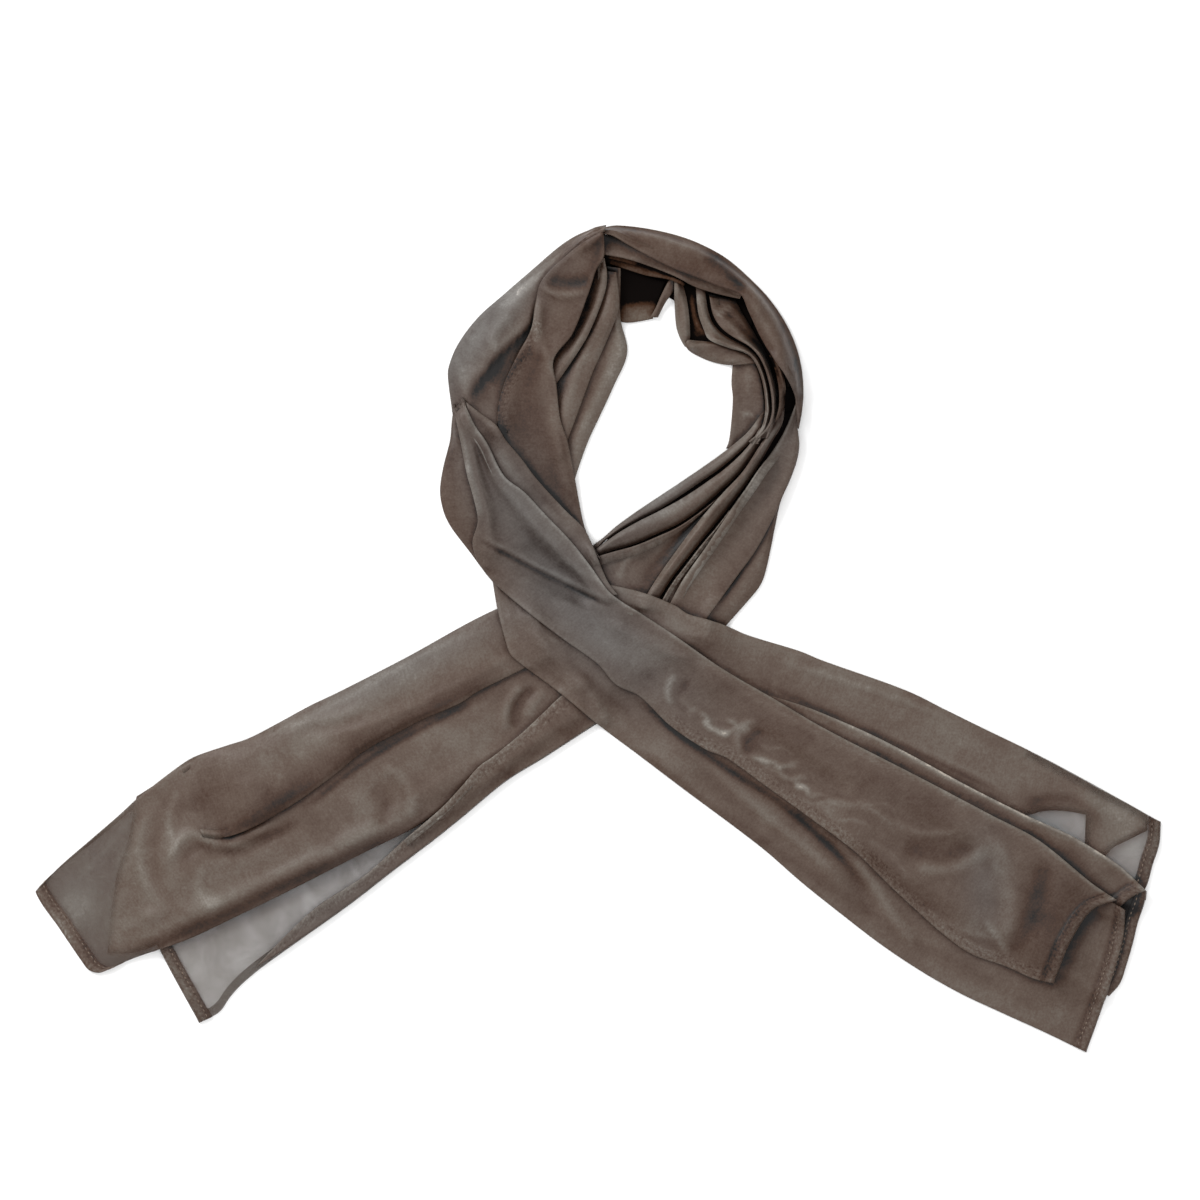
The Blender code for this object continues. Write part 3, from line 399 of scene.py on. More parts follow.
# The strand's upper turn: over the crossing and on to the right end, lowest layer first
RIGHT_END = [
    Stretch("right_end_inner_hem_layer", tone=BROWN,
            near=[(48, 2), (100, -30), (170, -62), (230, -92), (290, -121), (312, -132),
                  (322, -132), (335, -129), (350, -129), (367, -132)],
            far=[(62, 20), (90, 9), (130, -6), (168, -17), (232, -40), (290, -67.5), (334, -89.5),
                 (369, -108.5)]),
    Stretch("right_end_corner_layer", tone=BROWN,
            near=[(365, -160), (374, -167), (382, -161), (386, -156.5), (398, -150.5),
                  (412, -143.5)],
            far=[(366, -107), (375, -112), (383, -116), (390, -120), (398, -124), (412, -132)]),
    Stretch("core_right_end", tone=BROWN,
            near=[(30, -40), (110, -100), (180, -150), (240, -190), (300, -215), (340, -232)],
            far=[(92, -28), (150, -60), (220, -100), (290, -135), (330, -152), (366, -172)],
            wall=0.0014, rise=0.0035, core=True),
    Stretch("right_end_upper_panel", tone=0.15,
            near=[(-2, 26), (56, -12), (126, -56), (226, -110), (306, -150), (356, -175),
                  (403, -198)],
            far=[(8, 41), (33, 35), (58, 25), (67, 19), (81, 15), (96, 10), (112, 3), (151, -9),
                 (168, -16), (232, -39), (268, -57), (334, -89), (393, -121), (416, -134),
                 (422, -137)],
            end=[(403, -198), (411, -186), (416, -169), (421, -153), (422, -137)],
            hem="sewn",
            swell=[Swell(90, -8, 26, 4)],
            layers=1, sheer=0.74),
    Stretch("right_end_fold_under", tone=-0.1,
            near=[(110, -100), (180, -142), (260, -190), (330, -235), (383, -268)],
            far=[(120, -44), (180, -68), (240, -95), (300, -127), (350, -152), (390, -176),
                 (411, -189)],
            end=[(383, -268), (391, -259), (396, -245), (401, -228), (405, -212), (410, -197),
                 (411, -189)],
            hem="sewn", fade=(60, 0)),
    Stretch("right_end_fold_over", tone=BROWN,
            near=[(80, -50), (160, -84), (240, -120), (300, -152), (340, -176), (370, -197),
                  (388, -205)],
            far=[(86, -26), (112, -37), (138, -45), (162, -53), (212, -75), (279, -111),
                 (323, -133), (354, -147), (376, -160), (391, -170), (405, -183), (410, -188)],
            end=[(388, -205), (394, -198), (402, -192), (410, -188)],
            rise=0.001, hem="rolled", fade=(130, 0)),
    Stretch("right_end_lower_panel", tone=BROWN,
            near=[(-79, 43), (-76, 25), (-70, 1), (-66, -11), (-60, -17), (-28, -41), (1, -65),
                  (29, -86), (62, -111), (122, -156), (152, -182), (182, -206), (212, -229),
                  (242, -249), (272, -266), (302, -280), (335, -295), (366, -310)],
            far=[(-66, 46), (-50, 40), (-25, 26), (0, 14), (30, 6), (90, -25), (165, -68),
                 (240, -107), (295, -136), (329, -154), (370, -187), (395, -203)],
            end=[(366, -310), (374, -288), (381.5, -266), (389, -241), (394, -221), (395, -203)],
            hem="sewn",
            swell=[Swell(60, -90, 30, 4), Swell(180, -168, 26, 4), Swell(340, -240, 40, 5)]),
    Stretch("loop_left_bump", tone=-0.35,
            near=[(-107, 176), (-109, 167), (-111, 149), (-116, 129), (-118.5, 111), (-116, 96),
                  (-111, 85), (-103, 74), (-96, 65), (-88, 54)],
            far=[(-103, 176), (-99, 160), (-94, 140), (-88, 115), (-83, 100), (-81, 85), (-80, 72),
                 (-80, 56)],
            rise=0.003, fade=(9, 0)),
    Stretch("loop_left_crossband", tone=-0.1,
            near=[(-105, 172, 9), (-94, 156, 9), (-84, 140, 9), (-72, 118, 9), (-56, 98, 9),
                  (-38, 78, 9), (-18, 58, 9), (-4, 42, 9), (6, 30, 9)],
            far=[(-102, 180, 9), (-88, 169, 10), (-76, 160, 11), (-69, 149, 11), (-58, 136, 11),
                 (-46, 120, 11), (-25, 97, 10), (-10, 82, 8), (-4, 70, 8), (7, 44, 9),
                 (15, 33, 9)],
            rise=0.001, fade=(9, 0)),
    Stretch("right_end_front_panel", tone=-0.2,
            near=[(-108, 172), (-103, 149), (-98, 123), (-93, 105), (-90, 88), (-94, 72),
                  (-90, 58), (-79, 43), (-55, 22), (-25, -1), (0, -19), (13, -34), (31, -43),
                  (54, -65), (81, -83), (96, -89), (124, -109), (160, -135), (192, -159),
                  (226, -192), (274, -233), (307, -246), (325, -254), (341, -258)],
            far=[(-101, 179), (-92, 160), (-83, 147), (-70, 122), (-55, 110), (-40, 94), (-20, 73),
                 (-5, 54), (8, 36), (18, 28), (31, 20), (57, 3), (93, -22), (134, -46), (168, -66),
                 (240, -103), (295, -132), (329, -150), (370, -183), (388, -195)],
            end=[(341, -258), (346, -244), (351, -231), (357, -220), (365, -208), (374, -200),
                 (388, -195)],
            hem="rolled", selvedge=[("near", 0.46, 1)], fade=(12, 0),
            swell=[Swell(-60, 60, 40, 4), Swell(60, -40, 34, 3), Swell(200, -130, 40, 4),
                   Swell(335, -200, 45, 7)]),
]

SCARF = UNDER_CROSSING + LOOP_BEND + RIGHT_SIDE + LEFT_END + LOOP_TOP + LOOP_LEFT + RIGHT_END


# Marks on a stretch, each along a line. kind is ridge, trough, lip (it stands up on the line's
# left and falls sharply on its right) or flat, which is painted tone alone. height and width are
# in
# millimetres, and tone is added: below 0 it is painted shade, above 0 painted grey sheen.
Mark = namedtuple("Mark", "kind height width tone points")
# Tone in a soft oval round (x, y), turned by some degrees
Cloud = namedtuple("Cloud", "tone x y long wide turn")

MARKS = {
    "left_end_top_roll": [
        Mark("flat", 0, 8, -0.55,
             [(-64, -20), (-100, -38), (-136, -58), (-172, -76), (-202, -95), (-226, -112),
              (-250, -124), (-268, -133)]),
        Mark("flat", 0, 3, -0.5,
             [(-74, -29), (-106, -45), (-142, -64), (-178, -85), (-208, -107), (-236, -122),
              (-256, -133), (-274, -143)]),
        Mark("flat", 0, 9, 0.3,
             [(-82, 2), (-130, -22), (-178, -49), (-214, -73), (-250, -94), (-284, -115)]),
        Mark("flat", 0, 5, 0.45,
             [(-80, 17), (-124, -7), (-172, -32), (-208, -52), (-238, -65), (-262, -77)]),
        Mark("ridge", 0.8, 4, 0.25, [(-172, -48), (-196, -58), (-220, -62), (-242, -67)]),
        Mark("flat", 0, 5, -0.6, [(-226, -127), (-250, -137), (-274, -143), (-290, -142)]),
    ],
    "left_end_upper_panel": [
        Mark("flat", 0, 2.8, -1.3,
             [(-82, -41), (-124, -62), (-160, -82), (-190, -103), (-212, -121), (-226, -127)]),
        Mark("ridge", 1.6, 3.5, 0.5,
             [(-238, -134), (-256, -145), (-274, -153), (-290, -150), (-302, -145), (-310, -148),
              (-318, -158), (-321, -172)]),
        Mark("trough", 1.2, 4, -0.35,
             [(-220, -139), (-242, -148), (-262, -158), (-284, -160), (-298, -156), (-308, -163),
              (-310, -178)]),
        Mark("ridge", 1.3, 5, 0.3,
             [(-164, -95), (-152, -100), (-141, -112), (-138, -127), (-142, -139)]),
        Mark("trough", 1, 6, -0.3, [(-170, -109), (-160, -118), (-158, -130), (-164, -142)]),
        Mark("ridge", 0.8, 8, 0.25,
             [(-190, -121), (-178, -121), (-170, -133), (-178, -145), (-196, -148)]),
        Mark("flat", 0, 7, -1.1,
             [(-116, -127), (-148, -148), (-184, -163), (-220, -179), (-250, -193), (-280, -208),
              (-310, -220), (-340, -232), (-362, -238)]),
        Mark("flat", 0, 6, 0.35,
             [(-130, -121), (-160, -139), (-196, -157), (-232, -172), (-268, -190), (-298, -205),
              (-328, -218), (-356, -226)]),
        Mark("ridge", 1.5, 7, 0,
             [(-130, -124), (-160, -141), (-196, -159), (-232, -175), (-268, -192), (-298, -206),
              (-328, -220), (-356, -227)]),
        Mark("ridge", 0.7, 4, 0.3,
             [(-328, -122), (-340, -139), (-344, -157), (-340, -178), (-328, -196), (-316, -208)]),
        Mark("trough", 0.6, 5, -0.25, [(-320, -133), (-330, -148), (-332, -166), (-326, -184)]),
        Mark("ridge", 0.5, 4, 0.25, [(-292, -166), (-298, -181), (-292, -196), (-278, -199)]),
        Mark("trough", 1.3, 4, -0.5, [(-46, -35), (-57, -46), (-62, -58), (-59, -68)]),
        Mark("ridge", 1.2, 4, 0.35, [(-54, -32), (-65, -44), (-69, -58), (-67, -70)]),
        Mark("ridge", 0.8, 4, 0.2, [(-39, -38), (-48, -49), (-52, -61)]),
        Mark("flat", 0, 3, 0.25, [(-387, -178), (-374, -163), (-356, -142), (-346, -127)]),
        Mark("flat", 0, 7, 0.3, [(-320, -121), (-292, -107), (-262, -97), (-238, -88)]),
        Mark("flat", 0, 4, -0.8,
             [(-220, -134), (-238, -142), (-256, -148), (-274, -148), (-286, -143)]),
        Mark("flat", 0, 3, 0.5, [(-314, -112), (-320, -127), (-321, -139), (-316, -151)]),
        Mark("flat", 0, 5, -0.5, [(-274, -139), (-278, -151), (-276, -163)]),
    ],
    "left_end_lower_panel": [
        Mark("flat", 0, 5, -0.7,
             [(-292, -220), (-262, -206), (-226, -191), (-190, -175), (-154, -157), (-130, -142)]),
        Mark("ridge", 0.5, 5, 0.2, [(-290, -265), (-274, -250), (-256, -235), (-232, -217)]),
    ],
    "left_end_turned_edge": [
        Mark("flat", 0, 3, -0.35,
             [(-278, -269), (-250, -248), (-220, -226), (-184, -202), (-148, -175), (-112, -148),
              (-74, -121), (-32, -91)]),
        Mark("flat", 0, 2.5, 0.3,
             [(-232, -223), (-202, -199), (-164, -169), (-130, -139), (-100, -112), (-64, -82),
              (-32, -52)]),
    ],
    "right_end_front_panel": [
        Mark("flat", 0, 2, 0.35,
             [(16, 23), (74, -13), (115, -42), (176, -76), (224, -99), (268, -120), (312, -144),
              (343, -165), (377, -190)]),
        Mark("flat", 0, 8, -0.25, [(94, -53), (142, -70), (183, -94), (231, -118), (278, -142)]),
        Mark("ridge", 0.9, 2.5, 0.7, [(59, -26), (53, -34), (52, -45), (55, -50)]),
        Mark("trough", 0.8, 3, -0.35, [(69, -30), (61, -40), (61, -50), (69, -55)]),
        Mark("ridge", 1, 2.4, 0.6, [(74, -54), (82, -60), (80, -64), (89, -70), (94, -73)]),
        Mark("ridge", 1, 2.4, 0.6, [(95, -61), (103, -64), (98, -70), (91, -74)]),
        Mark("ridge", 0.8, 3, 0.6, [(121, -62), (111, -63), (105, -70), (104, -79), (108, -86)]),
        Mark("trough", 0.7, 3, -0.35, [(125, -69), (115, -72), (111, -81), (115, -88)]),
        Mark("ridge", 1, 2.4, 0.55, [(112, -87), (121, -91), (132, -93), (137, -100)]),
        Mark("ridge", 1, 2.2, 0.55, [(142, -93), (136, -98), (139, -104), (145, -104)]),
        Mark("ridge", 0.8, 2.2, 0.5, [(144, -108), (150, -104), (157, -104)]),
        Mark("ridge", 0.8, 2.2, 0.5, [(145, -113), (154, -111), (159, -118), (168, -115)]),
        Mark("ridge", 0.5, 3, 0.35,
             [(162, -116), (183, -123), (203, -127), (217, -137), (225, -143)]),
        Mark("ridge", 0.6, 3, 0.4,
             [(222, -132), (227, -140), (241, -145), (261, -145), (275, -142)]),
        Mark("trough", 1.1, 8, -0.45, [(227, -154), (244, -159), (265, -161), (283, -153)]),
        Mark("ridge", 0.9, 5, 0.45, [(234, -168), (258, -173), (280, -164), (292, -154)]),
        Mark("ridge", 1.6, 8, 0.35,
             [(294, -142), (300, -162), (307, -186), (307, -213), (300, -234)]),
        Mark("trough", 1.6, 9, -0.6,
             [(338, -162), (331, -183), (326, -203), (316, -224), (307, -241)]),
        Mark("flat", 0, 6, -0.35,
             [(360, -179), (346, -196), (338, -217), (331, -237), (326, -249)]),
        Mark("ridge", 0.6, 2.5, 0.5, [(244, -203), (261, -213), (278, -221), (292, -224)]),
        Mark("ridge", 0.6, 2.5, 0.5, [(289, -210), (295, -219), (301, -227), (307, -239)]),
        Mark("ridge", 0.5, 3, 0.35, [(251, -213), (268, -224), (285, -232), (302, -241)]),
        Mark("flat", 0, 4, -0.3,
             [(190, -145), (210, -170), (234, -192), (271, -219), (306, -239)]),
        Mark("ridge", 0.9, 2.2, 0.55, [(-100, 136), (-98, 123), (-94, 108), (-90, 90)]),
        Mark("trough", 0.9, 4, -0.35, [(-106, 147), (-104, 125), (-101, 106), (-97, 87)]),
        Mark("flat", 0, 5, 0.3, [(-76, 134), (-57, 106), (-33, 79), (-11, 59), (8, 38)]),
        Mark("ridge", 0.9, 2.5, 0.4, [(-93, 78), (-71, 68), (-44, 54), (-11, 38), (14, 27)]),
        Mark("trough", 0.9, 2.2, -0.75, [(-93, 75), (-71, 64), (-44, 50), (-11, 34), (14, 23)]),
        Mark("ridge", 0.5, 4, 0.25, [(-79, 125), (-63, 104), (-44, 82), (-19, 63)]),
        Mark("ridge", 0.5, 3, 0.3, [(-52, 87), (-35, 68), (-14, 52), (3, 41)]),
        Mark("flat", 0, 1.5, 0.45, [(150, -118), (160, -124), (172, -122), (184, -128)]),
        Mark("flat", 0, 1.5, 0.45, [(168, -128), (178, -136), (192, -136), (204, -142)]),
        Mark("flat", 0, 1.5, 0.4, [(118, -76), (128, -82), (139, -82), (148, -90)]),
        Mark("flat", 0, 1.5, 0.35, [(190, -118), (202, -124), (214, -123), (226, -130)]),
        Mark("flat", 0, 2, 0.35, [(200, -150), (214, -158), (226, -170), (232, -184)]),
        Mark("flat", 0, 2, -0.3, [(154, -114), (166, -119), (180, -118), (196, -124)]),
        Mark("flat", 0, 3, -0.5, [(-92, 150), (-85, 137), (-79, 124)]),
        Mark("flat", 0, 2, 0.6, [(-104, 160), (-100, 143), (-95, 123), (-90, 105), (-87, 88)]),
    ],
    "right_end_lower_panel": [
        Mark("flat", 0, 3.2, -1.3,
             [(29, -43), (60, -72), (94, -96), (132, -120), (162, -145), (183, -166),
              (203, -190)]),
        Mark("ridge", 1.2, 5, 0.35,
             [(77, -89), (101, -111), (132, -138), (162, -162), (183, -186)]),
        Mark("trough", 1.1, 7, -0.3, [(162, -145), (183, -169), (198, -193), (210, -213)]),
        Mark("ridge", 1.3, 5, 0.35, [(190, -162), (210, -190), (224, -213), (241, -234)]),
        Mark("ridge", 0.7, 8, 0.25, [(-8, -40), (26, -74), (60, -101), (108, -138)]),
        Mark("flat", 0, 5, -0.4,
             [(2, -69), (40, -96), (84, -127), (132, -159), (183, -193), (231, -224), (278, -249),
              (326, -275), (357, -299)]),
        Mark("flat", 0, 7, 0.25, [(251, -248), (285, -268), (323, -282), (353, -288)]),
        Mark("flat", 0, 4, -0.4, [(-28, -11), (-11, -28), (9, -46), (26, -57)]),
        Mark("flat", 0, 4, -0.8,
             [(346, -262), (351, -245), (358, -228), (368, -212), (380, -205), (388, -206)]),
    ],
    "right_end_fold_over": [
        Mark("flat", 0, 2, 0.35,
             [(162, -55), (210, -76), (278, -110), (329, -137), (374, -161), (404, -183)]),
        Mark("flat", 0, 4, -0.5,
             [(183, -72), (231, -95), (271, -114), (312, -137), (346, -161), (384, -188)]),
    ],
    "right_end_upper_panel": [
        Mark("flat", 0, 2.6, -0.9, [(118, -31), (162, -51), (210, -71), (278, -104), (312, -122)]),
        Mark("ridge", 0.5, 3, 0.3, [(132, -14), (176, -28), (231, -46), (278, -67)]),
        Mark("ridge", 0.4, 3, 0.25, [(162, -53), (210, -70), (261, -91), (306, -111)]),
        Mark("flat", 0, 3, -0.4, [(418, -138), (401, -149), (381, -161)]),
        Mark("flat", 0, 4, -0.6,
             [(317, -130), (326, -122), (340, -118), (356, -120), (369, -129), (374, -140)]),
        Mark("flat", 0, 3, -0.5, [(386, -155), (398, -149), (411, -142)]),
    ],
    "loop_left_outer_band": [
        Mark("ridge", 0.8, 4, 0.5, [(-5, 301), (-24, 289), (-44, 277), (-60, 263), (-79, 248)]),
        Mark("ridge", 0.6, 3, 0.3, [(-63, 245), (-74, 234), (-78, 224), (-75, 213)]),
        Mark("trough", 0.6, 3, -0.2, [(-69, 249), (-82, 237), (-86, 226), (-83, 213)]),
        Mark("ridge", 0.7, 3, 0.3, [(-93, 204), (-99, 194), (-98, 180), (-93, 173)]),
        Mark("flat", 0, 4, -0.35, [(4, 305), (-14, 294), (-30, 281), (-41, 267)]),
        Mark("lip", 1.9, 5, 0,
             [(-99, 177), (-95, 188), (-87, 199), (-75, 214), (-62, 226), (-52, 235), (-47, 256)]),
        Mark("flat", 0, 4.5, -1.1,
             [(-96, 176), (-92, 186), (-83, 196), (-71, 210), (-59, 222), (-50, 231), (-46, 245)]),
        Mark("flat", 0, 3, 0.35,
             [(-100, 180), (-97, 190), (-89, 202), (-77, 216), (-64, 228), (-54, 238)]),
        Mark("flat", 0, 2, 0.4, [(-93, 185), (-89, 191), (-82, 191), (-78, 187), (-79, 180)]),
        Mark("flat", 0, 2.5, 0.3, [(-106, 213), (-103, 202), (-101, 191)]),
        Mark("flat", 0, 4, 0.3, [(-19, 292), (-35, 278), (-52, 266), (-68, 252), (-82, 239)]),
    ],
    "loop_left_panel": [
        Mark("ridge", 1.6, 2.5, 0.6, [(-44, 264), (-37, 260), (-24, 257), (-5, 260)]),
        Mark("trough", 1.2, 5, -0.6, [(-39, 270), (-30, 267), (-16, 266), (-3, 269)]),
        Mark("flat", 0, 5, -0.6, [(3, 303), (1, 286), (-4, 270)]),
        Mark("ridge", 1.2, 4, 0.3, [(-44, 258), (-45, 240), (-42, 221), (-34, 204), (-31, 191)]),
        Mark("flat", 0, 6, -0.7, [(4, 278), (-3, 251), (-16, 226), (-29, 202)]),
        Mark("flat", 0, 6, -0.5, [(-52, 224), (-44, 207), (-52, 185), (-49, 164)]),
        Mark("ridge", 0.9, 4, 0.3, [(-32, 185), (-31, 164), (-27, 136), (-19, 109)]),
        Mark("flat", 0, 3, -0.6, [(-60, 147), (-49, 125), (-33, 104), (-16, 82), (-3, 60)]),
        Mark("ridge", 1.3, 3, 0.35, [(-45, 256), (-48, 240), (-47, 224), (-46, 207)]),
        Mark("flat", 0, 4, -0.5, [(-39, 254), (-41, 237), (-38, 218), (-35, 202)]),
        Mark("flat", 0, 5, 0.5, [(-41, 254), (-39, 226), (-38, 199), (-35, 169), (-29, 136)]),
        Mark("flat", 0, 3, -0.9,
             [(-50, 220), (-62, 206), (-71, 191), (-76, 177), (-74, 161), (-65, 144)]),
    ],
    "loop_left_crossband": [
        Mark("flat", 0, 2, 0.4,
             [(-98, 174), (-90, 158), (-80, 143), (-65, 123), (-52, 106), (-30, 82), (-11, 61),
              (8, 41)]),
        Mark("flat", 0, 3, -0.6, [(-93, 169), (-84, 158), (-78, 147)]),
        Mark("flat", 0, 6, -0.4, [(-84, 161), (-69, 147), (-56, 128), (-38, 105), (-22, 82)]),
        Mark("flat", 0, 3, 0.45, [(-41, 100), (-36, 95), (-30, 91)]),
        Mark("flat", 0, 3, 0.3, [(-76, 142), (-65, 128), (-52, 112)]),
    ],
    "loop_left_inner_strip": [
        Mark("ridge", 0.8, 4, 0.3,
             [(15, 273), (14, 245), (18, 218), (8, 196), (-8, 164), (-19, 136)]),
        Mark("flat", 0, 3, -0.6, [(15, 259), (8, 232), (3, 207), (-11, 174), (-22, 147)]),
        Mark("flat", 0, 4, -1.6, [(2, 279), (10, 278), (18, 276)]),
    ],
    "loop_left_middle_strip": [
        Mark("ridge", 0.8, 4, 0.35,
             [(11, 273), (4, 243), (-8, 218), (-16, 196), (-24, 169), (-26, 153)]),
        Mark("flat", 0, 3, -0.8, [(3, 243), (-11, 218), (-22, 202), (-29, 180)]),
        Mark("flat", 0, 4, -1.4, [(-3, 277), (6, 276), (15, 275)]),
    ],
    "loop_left_outer_strip": [
        Mark("flat", 0, 3, -0.6, [(4, 275), (-3, 251), (-14, 232), (-27, 207)]),
        Mark("ridge", 0.6, 3, 0.3, [(7, 277), (0, 249), (-9, 229), (-24, 204)]),
    ],
    "loop_top_roll": [
        Mark("flat", 0, 4, 0.4,
             [(8, 308), (30, 305), (55, 300), (78, 291), (100, 276), (120, 257), (137, 235),
              (148, 213), (153, 193)]),
        Mark("trough", 3.2, 5, -1.1, [(78, 290), (95, 278), (104, 267), (109, 256)]),
        Mark("flat", 0, 4, -0.5,
             [(11, 289), (36, 283), (55, 276), (78, 266), (100, 257), (114, 238), (128, 213),
              (142, 190)]),
        Mark("flat", 0, 5, -0.35, [(111, 274), (128, 255), (139, 232), (146, 210), (151, 190)]),
        Mark("ridge", 1, 5, 0.35, [(111, 255), (125, 232), (137, 210), (146, 188)]),
        Mark("ridge", 0.9, 4, 0.25, [(7, 305), (15, 298), (28, 289), (43, 283)]),
    ],
    "loop_strip_upper": [
        Mark("ridge", 0.5, 2, 0.25,
             [(5, 287), (25, 283), (44, 276), (67, 267), (89, 261), (106, 255)]),
        Mark("flat", 0, 2, -0.6,
             [(5, 283), (25, 278), (44, 271), (64, 264), (86, 257), (106, 253)]),
    ],
    "loop_back_band": [
        Mark("flat", 0, 9, -1.8, [(16, 273), (30, 269), (44, 267), (54, 266)]),
        Mark("flat", 0, 3, -0.5, [(18, 253), (28, 255), (39, 257), (47, 259)]),
        Mark("flat", 0, 2, 0.35, [(19, 245), (28, 247), (39, 248), (46, 249)]),
        Mark("flat", 0, 10, -1.6, [(11, 262), (25, 262), (42, 264), (54, 264)]),
    ],
    "loop_box_panel": [
        Mark("ridge", 1, 3, 0.4, [(69, 259), (72, 243), (78, 231), (86, 224)]),
        Mark("flat", 0, 4, -0.5, [(63, 257), (66, 243), (69, 230)]),
    ],
    "loop_fold_second": [
        Mark("ridge", 0.8, 2.5, 0.35, [(86, 246), (103, 230), (117, 216), (125, 202)]),
        Mark("trough", 0.7, 2.5, -0.4, [(90, 250), (106, 235), (120, 221), (128, 207)]),
        Mark("ridge", 0.6, 2.5, 0.3, [(99, 255), (111, 238), (125, 218), (134, 199)]),
        Mark("ridge", 1.2, 2.5, 0.6, [(88, 241), (95, 246), (102, 250)]),
        Mark("flat", 0, 3, -0.6, [(89, 237), (96, 242), (104, 247), (109, 238)]),
    ],
    "loop_fold_first": [
        Mark("flat", 0, 2.5, -0.4,
             [(75, 257), (78, 238), (89, 224), (109, 218), (120, 204), (125, 182)]),
    ],
    "loop_inner_panel": [
        Mark("ridge", 0.7, 1.8, 0.6, [(107, 167), (113, 169), (117, 166)]),
        Mark("ridge", 0.4, 3, 0.25, [(109, 210), (113, 199), (111, 182)]),
    ],
    "right_pleat_inner": [
        Mark("flat", 0, 2.5, -0.5, [(86, 129), (67, 115), (47, 101), (25, 88), (5, 76)]),
    ],
    "right_pleat_second": [
        Mark("flat", 0, 4, -0.6, [(111, 143), (86, 115), (61, 93), (36, 81), (8, 72)]),
        Mark("flat", 0, 3, 0.25, [(117, 148), (92, 123), (67, 101), (36, 87)]),
    ],
    "right_panel_flat": [
        Mark("ridge", 0.8, 2.5, 0.35, [(14, 42), (18, 53), (23, 62), (36, 69)]),
        Mark("trough", 1, 4, -0.5, [(30, 39), (50, 62), (67, 81), (81, 98)]),
    ],
    "right_pleat_third": [
        Mark("flat", 0, 2.5, -0.6,
             [(43, 37), (61, 62), (78, 84), (97, 109), (114, 132), (128, 154)]),
        Mark("flat", 0, 2.5, 0.3, [(40, 42), (57, 66), (75, 88), (95, 114), (114, 140)]),
    ],
    "right_outer_panel": [
        Mark("flat", 0, 2, 0.45,
             [(51, 28), (67, 51), (83, 76), (97, 98), (111, 115), (125, 129), (145, 151)]),
        Mark("flat", 0, 4, -0.35, [(86, 25), (106, 53), (123, 79), (134, 101)]),
    ],
    "right_outer_fold": [
        Mark("flat", 0, 4, -0.7, [(88, 24), (106, 51), (123, 76), (134, 98), (139, 115)]),
        Mark("flat", 0, 3, -0.3, [(106, 25), (121, 42), (128, 62), (134, 90)]),
        Mark("flat", 0, 2, 0.5, [(144, 140), (146, 146), (147, 154)]),
    ],
}
